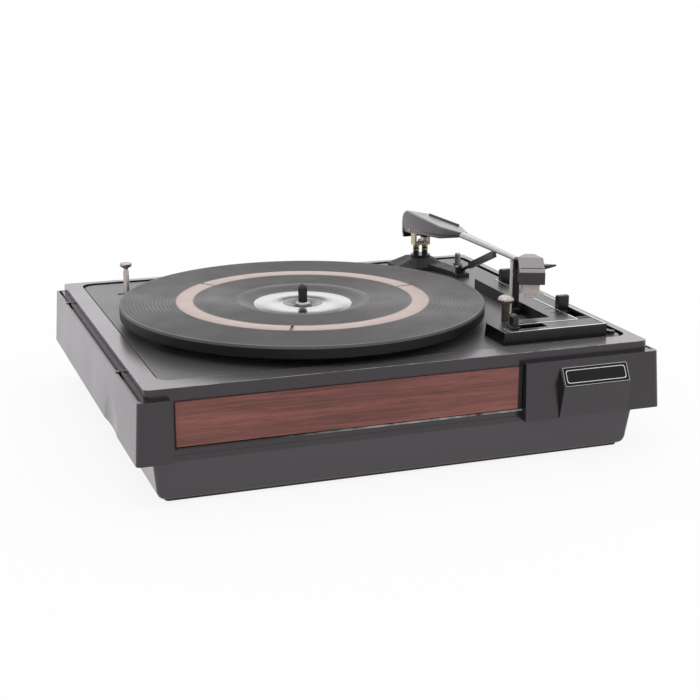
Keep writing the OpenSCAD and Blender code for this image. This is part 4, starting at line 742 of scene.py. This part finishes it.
# Transit screws
KEEPER_RISE, KEEPER_H, KEEPER_OVER = 2.0, 3.0, 1.6
HEAD_H, SLOT_W, SLOT_D = 6.6, 1.2, 0.8


def screw_stem(r, low):
    """Outline of the tail with the keeper under the plate."""
    k0, k1 = low + KEEPER_RISE, low + KEEPER_RISE + KEEPER_H
    return [(0, low), (r, low), (r, k0), (r + KEEPER_OVER, k0), (r + KEEPER_OVER, k1), (r, k1)]


def mushroom(r, head, top):
    """Outline of a thick domed head over a short cone."""
    z = top - HEAD_H
    return [
        (r, z - 0.8), (r + 0.6, z), (head - 1.4, z + 0.9), (head - 0.4, z + 1.8), (head, z + 2.9),
        (head - 0.15, z + 3.9), (0.86 * head, z + 5.1), (0.62 * head, z + 6.1), (0.35 * head, z + 6.5),
        (0, top),
    ]


def flat_head(r, head, top):
    """Outline of a flat head on a waist."""
    waist = 0.75 * r
    return [
        (r, top - 7), (waist, top - 6), (waist, top - 4.6), (r + 0.6, top - 3.8), (head - 0.4, top - 2.9),
        (head, top - 2.4), (head, top - 0.7), (head - 0.5, top - 0.15), (head - 1.2, top), (0, top),
    ]


def make_transit_screw(node, body, r, head_outline, slot_turn):
    """Turned screw with a slot across its head."""
    (_, _, low), (_, _, top) = box(node)
    at, head = middle(node), across(node)
    profile = screw_stem(r, low) + head_outline(r, head, top)
    screw = piece(node + "_turned", lathe(profile, at, 40), NICKEL, body, node)
    reach = head + 1
    slot = moved(
        block((-reach, -SLOT_W / 2, -SLOT_D), (reach, SLOT_W / 2, 1)),
        Matrix.Translation((at[0], at[1], top)) @ Matrix.Rotation(math.radians(slot_turn), 4, "Z"),
    )
    carved(screw, slot)


# Badge plate
BADGE_T, BADGE_BASE, BADGE_CORNER = 0.6, 0.45, 0.6
RIM_LINE, INNER_LINE, LINE_H = 0.15, 2.2, 0.1
FIRST_LEAN, LEAN_ROUNDS = 60.0, 20


def outline_ring(outline, inset_outline, z0, z1):
    """A flat frame between two outlines with equally many points."""
    rows = [[(x, y, z) for x, y in line] for line, z in (
        (outline, z0), (outline, z1), (inset_outline, z1), (inset_outline, z0), (outline, z0))]
    return skinned(rows, caps=False)


def make_badge():
    """Bare black plate on the sloped face, with a pale rim and a silver line inside it.

    Its lean follows from its box and its thickness, and each round of the loop comes closer to it.
    """
    low, high = box("badge_plate")
    lean = math.radians(FIRST_LEAN)
    for _ in range(LEAN_ROUNDS):
        run_y = high[1] - low[1] - BADGE_T * math.sin(lean)
        run_z = high[2] - low[2] - BADGE_T * math.cos(lean)
        lean = math.atan2(run_z, run_y)
    wide, tall = high[0] - low[0], math.hypot(run_y, run_z)
    corner = (low[0], low[1] + BADGE_T * math.sin(lean), low[2])
    lie = Matrix.Translation(corner) @ Matrix.Rotation(lean, 4, "X")

    def line(inset, radius):
        return rectangle(inset, wide - inset, inset, tall - inset, radius, 4)

    plate = prism(line(0, BADGE_CORNER), 0, BADGE_BASE)
    piece("name_plate", moved(plate, lie), BADGE_BLACK, "plinth", "badge_plate", bevel=0.08)
    low_line, high_line = BADGE_BASE - LINE_H, BADGE_BASE + LINE_H
    borders = [
        outline_ring(line(inset, radius), line(inset + width, radius), low_line, high_line)
        for inset, radius, width in ((RIM_LINE, BADGE_CORNER, 0.22), (INNER_LINE, 2.0, 0.45))
    ]
    piece("name_plate_lines", moved(joined(*borders), lie), CHROME, "plinth")


WOOD_SHORT, WOOD_CHAMFER, WOOD_CORNER = 3.4, 0.4, 0.6
WOOD_SEAM, GAP_BACK = 0.1, 1.0
LIP_GAP, LIP_H, LIP_OUT, LIP_ROUND = 0.5, 1.2, 0.3, 0.4


def make_wood_face():
    """Veneered panel with softened front edges, a matt black block at its right end as painted shade of the
    gap there, and the lip under it, whose paleness is a painted highlight.
    """
    (x0, y0, z0), (x1, y1, z1) = box("wood_panel")
    end = x1 - WOOD_SHORT
    rows = []
    for y, inset in ((y1, 0), (y0 + WOOD_CHAMFER, 0), (y0, WOOD_CHAMFER)):
        outline = rectangle(x0 + inset, end - inset, z0 + inset, z1 - inset, WOOD_CORNER, 3)
        rows.append([(x, y, z) for x, z in outline])
    piece("wood_face", skinned(rows), WALNUT, "plinth", "wood_panel", smooth=30)
    # Matt black block in the gap at the wood's end: painted shade.
    filler = rectangle(end + WOOD_SEAM, x1, z0, z1, WOOD_CORNER, 3)
    gap = [[(x, y, z) for x, z in filler] for y in (y1, y0 + GAP_BACK)]
    piece("wood_gap_shade", skinned(gap), MATT_BLACK, "plinth")
    low, high = z0 - LIP_GAP - LIP_H, z0 - LIP_GAP
    section = rectangle(y1, y0 - LIP_OUT, low, high, LIP_ROUND, 3)
    lip = [[(x, y, z) for y, z in section] for x in (x0, x1)]
    piece("wood_lip", skinned(lip), WOOD_LIP_HIGHLIGHT, "plinth")


# Tonearm; u runs forwards from the pivot, which is towards -Y
PIVOT = middle("tilt_pin")
HOUSE_LOW, HOUSE_TOP = box("arm_housing")[0][2], box("arm_housing")[1][2]
HOUSE_BACK, HOUSE_FRONT = PIVOT[1] - box("arm_housing")[1][1], PIVOT[1] - box("arm_housing")[0][1]
HOUSE_HALF = across("arm_housing")
TUBE_LOW, TUBE_TOP = box("arm_tube")[0][2], box("arm_tube")[1][2]
TUBE_TIP_HALF, TUBE_TIP_H = 2.3, 2.8
HOUSE_EDGE = PIVOT[2] - 3.5
CREASE_U, CREASE_LOW, CREASE_FALL = 65.0, 5.4, 1.8
REAR_TILT, CREASE_TILT = 3.9, 0.9
STEP_H, STEP_IN = 3.0, 0.5
HOUSE_WALL, HOUSE_ROUND, HOUSE_CORNER = 1.6, 0.9, 1.5
NOSE_CORNER, NOSE_STEP = 0.8, 0.05
HOLLOW_BACK, HOLLOW_FRONT, HOLLOW_UNDER = 10.0, 2.0, 9.0
RIDGE_IN, RIDGE_W, RIDGE_SINK, RIDGE_H = 4.0, 1.6, 0.9, 1.7
RIDGE_START, RIDGE_SHORT = 2.0, 1.0


def house_section(u, half, low, high, tilt, corner, step):
    """Section of the arm's housing: top falls to the right by tilt, sides stepped in low down."""
    inner = half - step
    foot = min(STEP_H, 0.3 * (high - tilt - low))
    shelf, right_top = low + foot + step, high - tilt
    outline = [
        (-inner, low), (inner, low), (inner, low + foot), (half, shelf), (half, right_top - corner),
        (half - corner, right_top), (corner - half, high), (-half, high - corner), (-half, shelf),
        (-inner, low + foot),
    ]
    return [(PIVOT[0] + x, PIVOT[1] - u, z) for x, z in rounded(outline, HOUSE_ROUND, 3)]


def make_housing():
    """Hollow rear housing with a hooked tail, stepped sides and a ridge on its top's right edge."""
    half, top, hook = HOUSE_HALF, HOUSE_TOP, HOUSE_LOW
    # Each row of the tail is its run from the back, its inset, its underside and its top
    tail = [
        (0, 2.5, hook + 0.5, top - 18), (0.5, 1.6, hook, top - 14.5), (1.5, 0.8, hook, top - 11),
        (3.2, 0.3, hook, top - 7), (5.5, 0, hook, top - 3.6), (6.8, 0, hook + 2.5, top - 2.3),
        (7.5, 0, HOUSE_EDGE, top - 1.7), (10, 0, HOUSE_EDGE, top - 0.5), (13, 0, HOUSE_EDGE, top),
    ]
    rows = [
        house_section(HOUSE_BACK + run, half - inset, low, high, REAR_TILT, HOUSE_CORNER, STEP_IN)
        for run, inset, low, high in tail
    ]
    crease = (TUBE_LOW - CREASE_LOW, top - CREASE_FALL)
    rows.append(house_section(CREASE_U, half, *crease, CREASE_TILT, HOUSE_CORNER, STEP_IN))
    nose = (across("arm_tube"), TUBE_LOW, TUBE_TOP)
    rows.append(house_section(HOUSE_FRONT, *nose, 0, NOSE_CORNER, NOSE_STEP))
    shell = skinned(rows)
    housing = piece("housing_shell", shell, ARM_BLACK, "tonearm", "arm_housing", smooth=34)
    inside = half - HOUSE_WALL
    ceiling = (top - REAR_TILT - HOUSE_WALL, top - CREASE_FALL - CREASE_TILT - HOUSE_WALL)
    hollow = [
        [(PIVOT[0] + x, PIVOT[1] - u, z) for x, z in rectangle(-inside, inside, hook - HOLLOW_UNDER, high)]
        for u, high in zip((HOUSE_BACK + HOLLOW_BACK, CREASE_U - HOLLOW_FRONT), ceiling)
    ]
    carved(housing, skinned(hollow))
    ridge = []
    creased = top - CREASE_FALL - CREASE_TILT
    for u, edge in ((RIDGE_START, top - REAR_TILT), (CREASE_U - RIDGE_SHORT, creased)):
        outline = rectangle(0, RIDGE_W, edge - RIDGE_SINK, edge + RIDGE_H, 0.4, 3)
        ridge.append([(PIVOT[0] + half - RIDGE_IN + x, PIVOT[1] - u, z) for x, z in outline])
    piece("housing_ridge", skinned(ridge), KNOB_BLACK, "tonearm")


def make_tube():
    """Tapered arm tube with a rounded back."""
    rows = []
    for y, half, high in (
        (box("arm_tube")[1][1], across("arm_tube"), TUBE_TOP - TUBE_LOW),
        (box("arm_tube")[0][1], TUBE_TIP_HALF, TUBE_TIP_H),
    ):
        outline = [
            (-half, 0.3), (-half + 0.3, 0), (half - 0.3, 0), (half, 0.3), (half, 0.55 * high),
            (0.75 * half, 0.9 * high), (0.3 * half, high), (-0.3 * half, high), (-0.75 * half, 0.9 * high),
            (-half, 0.55 * high),
        ]
        rows.append([(PIVOT[0] + x, y, TUBE_LOW + z) for x, z in outline])
    piece("tapered_tube", skinned(rows), ARM_SILVER, "tonearm", "arm_tube", smooth=60)


# Head; its own frame has its rear middle at the origin and runs forwards along -Y
HEAD_TURN, STYLUS_AHEAD = 23.0, 15.0
HEAD_HALF, HEAD_LEN = 9.7, 28.0
HEAD_LOW = box("cartridge")[1][2]


def head_place():
    turn = Matrix.Rotation(math.radians(-HEAD_TURN), 4, "Z")
    at = Vector(middle("stylus")) - turn @ Vector((0, -STYLUS_AHEAD, 0))
    return Matrix.Translation((at[0], at[1], HEAD_LOW)) @ turn


def make_finger_lift():
    """Tapered lift that leaves the head's right side and rises a little."""
    rows = []
    # Each section is how far out it stands, then its reach along Y and Z
    for out, y0, y1, z0, z1 in (
        (-0.2, -17, -10, 9.4, 12.8), (5, -16.2, -12.4, 10.8, 13), (9, -15.6, -13.8, 12, 13.2),
    ):
        rows.append([(HEAD_HALF + out, y, z) for y, z in rectangle(y0, y1, z0, z1, 0.5, 3)])
    shape = moved(skinned(rows), head_place())
    piece("curved_finger_lift", shape, KNOB_BLACK, "tonearm", "finger_lift", smooth=60)


SHELL_FRONT, SHELL_RISE = 9.4, 0.279
SLOT_BACK, SLOT_SHORT, HEAD_SLOT_HALF, SLOT_SINK, SLOT_STAND = 7.0, 1.2, 0.5, 0.7, 0.16
CARTRIDGE_PIN, PIN_R = [(-8.2, -19, -8.6), (-8.2, -19, -1.2), (-7.6, -18.4, 0.2)], 0.8


def make_head_details():
    """Matt black bar across the head's top as painted shade of its slot, and a small pin beside the
    cartridge.
    """
    y, z = SLOT_BACK - HEAD_LEN, SHELL_FRONT + SHELL_RISE * SLOT_BACK
    wide = HEAD_HALF - SLOT_SHORT
    # Painted shade: a matt black bar where the head's slot is.
    slot = block((-wide, y - HEAD_SLOT_HALF, z - SLOT_SINK), (wide, y + HEAD_SLOT_HALF, z + SLOT_STAND))
    piece("head_slot_shade", moved(slot, head_place()), MATT_BLACK, "tonearm", bevel=0.08)
    pin = moved(wire(CARTRIDGE_PIN, PIN_R, 12), head_place())
    piece("cartridge_pin", pin, NICKEL, "tonearm", smooth=60)


EAR_T, YOKE_FLOOR = 2.0, 2.0
BLOCK_W, BLOCK_H, BLOCK_GAP, BLOCK_OUT, BLOCK_IN = 4.5, 5.2, 0.1, 0.6, 1.0
GIMBAL_SCREW = [(0, 0), (1.5, 0), (1.5, 0.9), (1.1, 1.3), (0, 1.4)]
SCREW_LEFT, SCREW_RIGHT, SCREW_OUT, SCREW_UP = 4.2, 2.4, 0.4, 4.6
PILLAR_X, SLEEVE_DROPS = 4.2, (2.2, 5.4)
SLEEVE_IN, SLEEVE_OUT, SLEEVE_H, SLEEVE_SLOPE = 2.65, 3.0, 2.0, 0.2


def make_gimbal():
    """Bearing yoke: brass floor with two ears, a plated block at the right one, screws and sleeves."""
    (x0, y0, z0), (x1, y1, _) = box("arm_yoke")
    ear, seat = (y1 - y0) / 2, z0 + YOKE_FLOOR
    left, right = x0 + EAR_T, x1 - EAR_T
    crown = arc(PIVOT[1], PIVOT[2], ear, 0, 180, 14)
    foot = [(y0, seat), (y0, z0), (y1, z0), (y1, seat)]
    tall, flat = foot + crown, foot + [(y, seat) for y, _ in crown]
    stations = [(x0, tall), (left, tall), (left, flat), (right, flat), (right, tall), (x1, tall)]
    yoke = skinned([[(x, y, z) for y, z in outline] for x, outline in stations])
    piece("gimbal_yoke", yoke, BRASS, "turret", "arm_yoke", bevel=0.2)
    end = right - BLOCK_GAP
    nickel = block((end - BLOCK_W, y0 - BLOCK_OUT, seat), (end, y1 - BLOCK_IN, seat + BLOCK_H))
    piece("gimbal_block", nickel, NICKEL, "turret", bevel=0.5)
    side = Matrix.Rotation(math.radians(90), 4, "X")
    screws = []
    for x in (x0 + SCREW_LEFT, right - SCREW_RIGHT):
        at = Matrix.Translation((x, y0 - SCREW_OUT, z0 + SCREW_UP))
        screws.append(moved(lathe(GIMBAL_SCREW, (0, 0), 20), at @ side))
    piece("gimbal_screws", joined(*screws), NICKEL, "turret")
    sleeves = []
    for x in (-PILLAR_X, PILLAR_X):
        for z in (z0 - drop for drop in SLEEVE_DROPS):
            top = z + SLEEVE_H
            sides = [(SLEEVE_OUT, z + SLEEVE_SLOPE), (SLEEVE_OUT, top - SLEEVE_SLOPE)]
            profile = [(SLEEVE_IN, z)] + sides + [(SLEEVE_IN, top)]
            sleeves.append(lathe(profile, (PIVOT[0] + x, PIVOT[1]), 24, ring=True))
    piece("pillar_sleeves", joined(*sleeves), BRASS, "turret")


def ribbon(path, thick, y0, y1):
    """A flat strip along a path of (x, z)."""
    path = [Vector(p) for p in path]
    rows = []
    for i, p in enumerate(path):
        ahead = (path[min(i + 1, len(path) - 1)] - path[max(i - 1, 0)]).normalized()
        off = Vector((-ahead[1], ahead[0])) * thick / 2
        a, b = p + off, p - off
        rows.append([(a[0], y0, a[1]), (b[0], y0, b[1]), (b[0], y1, b[1]), (a[0], y1, a[1])])
    return skinned(rows)


CLIP_T, CLIP_BEND, CLIP_CURL = 1.0, 2.0, 0.8


def make_rest_clip():
    """Spring strip on the rest post: foot, upright, and a small curl at its top, whose cream colour is a
    painted highlight.
    """
    (x0, y0, z0), (x1, y1, z1) = box("rest_clip")
    up, foot, crest = x1 - CLIP_T / 2, z0 + CLIP_T / 2, z1 - CLIP_T / 2
    bend = arc(up - CLIP_BEND, foot + CLIP_BEND, CLIP_BEND, -90, 0, 6)
    hook = arc(up - CLIP_CURL, crest - CLIP_CURL, CLIP_CURL, 0, 110, 8)
    strip = ribbon([(x0, foot)] + bend + hook, CLIP_T, y0, y1)
    piece("bent_rest_clip", strip, CREAM_HIGHLIGHT_METAL, "deck", "rest_clip", bevel=0.15)


# Under the plate
CURLS, SPRING_R, SPRING_WIRE, SPRING_GAP, FRONT_RIGHT_IN = 6, 9.0, 0.64, 0.02, 2.0
COIL_PITCH, COIL_W, COIL_CORNER, COIL_BULGE = 0.9, 5.6, 1.6, 0.35


def make_springs():
    """Four suspension springs, each standing on the plinth and carrying the deck."""
    low, high = box("suspension_springs")
    left = middle("transit_screw_left")
    reach = SPRING_R + SPRING_WIRE + SPRING_GAP
    near = low[1] + reach
    for name, at in (
        ("back_left", left), ("front_left", (low[0] + reach, near)),
        ("back_right", (high[0] - reach, high[1] - reach)),
        ("front_right", (high[0] - reach - FRONT_RIGHT_IN, near)),
    ):
        z0, z1 = low[2] + SPRING_WIRE, high[2] - SPRING_WIRE
        spring = piece(
            "spring_" + name, wire(helix(at, SPRING_R, z0, z1, CURLS), SPRING_WIRE, 8), SPRING_STEEL, None,
            "suspension_springs", smooth=60,
        )
        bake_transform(spring)


def make_coil():
    """Windings of the motor: two stacks of wire, bulged at each layer."""
    low, high = box("motor_coil")
    layers = int((high[2] - low[2]) / COIL_PITCH)
    stacks = []
    for y0 in (low[1], high[1] - COIL_W):
        rows = []
        for i in range(2 * layers + 1):
            inset = COIL_BULGE if i % 2 == 0 else 0.0
            x0, x1, y1 = low[0] + inset, high[0] - inset, y0 + COIL_W - inset
            z = low[2] + (high[2] - low[2]) * i / (2 * layers)
            rows.append([(x, y, z) for x, y in rectangle(x0, x1, y0 + inset, y1, COIL_CORNER, 4)])
        stacks.append(skinned(rows))
    piece("motor_windings", joined(*stacks), COPPER, "deck", "motor_coil", smooth=60)


SPEED_TRAVEL, FUNCTION_TRAVEL = 26.0, 22.0
SLOT_HALF, SLOT_END, SLOT_APRON = 4.8, 3.3, 6.4
MARK_H, MARK_SINK, INLAY_H = 0.05, 0.1, 0.12
SPEED_MARKS, SPEED_MARK_Y, SPEED_MARK_PITCH, SPEED_MARK_W = (-15.5, -8.2), -1.0, 12.0, 1.2
FUNCTION_MARK_Y, FUNCTION_MARK_W, FUNCTION_MARK_L = 9.0, 3.0, 1.0
APRON_EDGE = 1.5


def make_panel_marks():
    """Plain bars beside the slots of the control panel, and a matt apron at the speed slot's front."""
    top = box("control_panel")[1][2]
    under = top - MARK_SINK
    x, y, _ = middle("speed_knob")
    left, right, front, back = x - SLOT_HALF, x + SLOT_HALF, y - SPEED_TRAVEL - SLOT_END, y + SLOT_END
    marks = []
    for i in range(3):
        at = y + SPEED_MARK_Y - SPEED_MARK_PITCH * i
        low, high = (x + SPEED_MARKS[0], at, under), (x + SPEED_MARKS[1], at + SPEED_MARK_W, top + MARK_H)
        marks.append(block(low, high))
    x2, y2, _ = middle("function_knob")
    for i in range(3):
        at, near = x2 + FUNCTION_TRAVEL * i / 2, y2 + FUNCTION_MARK_Y
        half = FUNCTION_MARK_W / 2
        marks.append(block((at - half, near, under), (at + half, near + FUNCTION_MARK_L, top + MARK_H)))
    piece("panel_marks", joined(*marks), MATT_BLACK, "deck")
    outer, nose = right + APRON_EDGE, front - SLOT_APRON
    apron = [(left, front), (left, nose), (outer, nose), (outer, back), (right, back), (right, front)]
    piece("slot_apron", prism(apron, under, top + INLAY_H), MATT_BLACK, "deck")


def make_pieces():
    make_platter()
    make_mat()
    make_ring()
    make_disc()
    make_spindle()
    make_transit_screw("transit_screw_left", "transit_left", r=2.4, head_outline=flat_head, slot_turn=-20)
    make_transit_screw("transit_screw_right", "transit_right", r=3.0, head_outline=mushroom, slot_turn=-30)
    make_badge()
    make_wood_face()
    make_housing()
    make_tube()
    make_finger_lift()
    make_head_details()
    make_gimbal()
    make_rest_clip()
    make_springs()
    make_coil()
    make_panel_marks()


# Studio
FLOOR_SIZE = 8.0
SKY_LEVEL = 0.72
FLOOR_GLOW, GLOW_FROM, GLOW_TO = 0.88, 0.5, 1.5


def seen_directly(tree):
    """1 for rays from the camera and in mirrors and glass, 0 for the light that falls on things."""
    path = tree.nodes.new("ShaderNodeLightPath")
    seen = path.outputs["Is Camera Ray"]
    for ray in ("Is Glossy Ray", "Is Transmission Ray"):
        either = tree.nodes.new("ShaderNodeMath")
        either.operation = "MAXIMUM"
        tree.links.new(seen, either.inputs[0])
        tree.links.new(path.outputs[ray], either.inputs[1])
        seen = either.outputs[0]
    return seen


def make_world():
    """White all round as it is seen, and a little dimmer as light."""
    world = bpy.data.worlds.new("white_room")
    bpy.context.scene.world = world
    world.use_nodes = True
    tree = world.node_tree
    back = tree.nodes["Background"]
    back.inputs["Color"].default_value = rgb(1, 1, 1)
    level = tree.nodes.new("ShaderNodeMapRange")
    level.inputs["To Min"].default_value = SKY_LEVEL
    level.inputs["To Max"].default_value = 1.0
    tree.links.new(seen_directly(tree), level.inputs["Value"])
    tree.links.new(level.outputs["Result"], back.inputs["Strength"])


def make_floor():
    """White floor; part of what the camera sees of it is plain white, so the shadow on it stays faint."""
    mesh = bpy.data.meshes.new("floor")
    half = FLOOR_SIZE / 2
    corners = [(x, y, 0) for x, y in rectangle(-half, half, -half, half)]
    mesh.from_pydata(corners, [], [(0, 1, 2, 3)])
    floor = added("floor", mesh)
    paint = Paint("floor_white", Roughness=0.9, Specular_IOR_Level=0.0)
    paint.drive("Base Color", paint.tint(paint.noise(400), grey(0.94), grey(0.96)))
    glow = paint.add("ShaderNodeEmission", {"Color": rgb(1, 1, 1), "Strength": 1.0}).outputs[0]
    whiter = paint.band(paint.axis_place((0, 0)), GLOW_FROM, GLOW_TO, FLOOR_GLOW, 1.0)
    share = paint.math("MULTIPLY", seen_directly(paint.tree), whiter)
    mixed = paint.add("ShaderNodeMixShader", {0: share, 1: paint.shader.outputs[0], 2: glow}).outputs[0]
    paint.tree.links.new(mixed, paint.tree.nodes["Material Output"].inputs["Surface"])
    mesh.materials.append(paint.material)


def make_lamps():
    for name, place, size, power in [
        ("key_light", (-0.6, -0.5, 1.5), 1.2, 4.5),
        ("fill_light", (1.2, -0.6, 1.2), 1.4, 2.0),
        ("back_light", (0.6, 1.0, 1.3), 2.2, 9.0),
    ]:
        data = bpy.data.lights.new(name, "AREA")
        data.shape, data.size, data.energy = "SQUARE", size, power
        lamp = added(name, data)
        lamp.location = place
        lamp.rotation_mode = "QUATERNION"
        lamp.rotation_quaternion = (-Vector(place)).to_track_quat("-Z", "Y")


def make_studio():
    make_world()
    make_floor()
    make_lamps()


make_camera()
make_studio()
dress_carried_nodes()
make_pieces()

bpy.context.scene.view_settings.view_transform = "Standard"
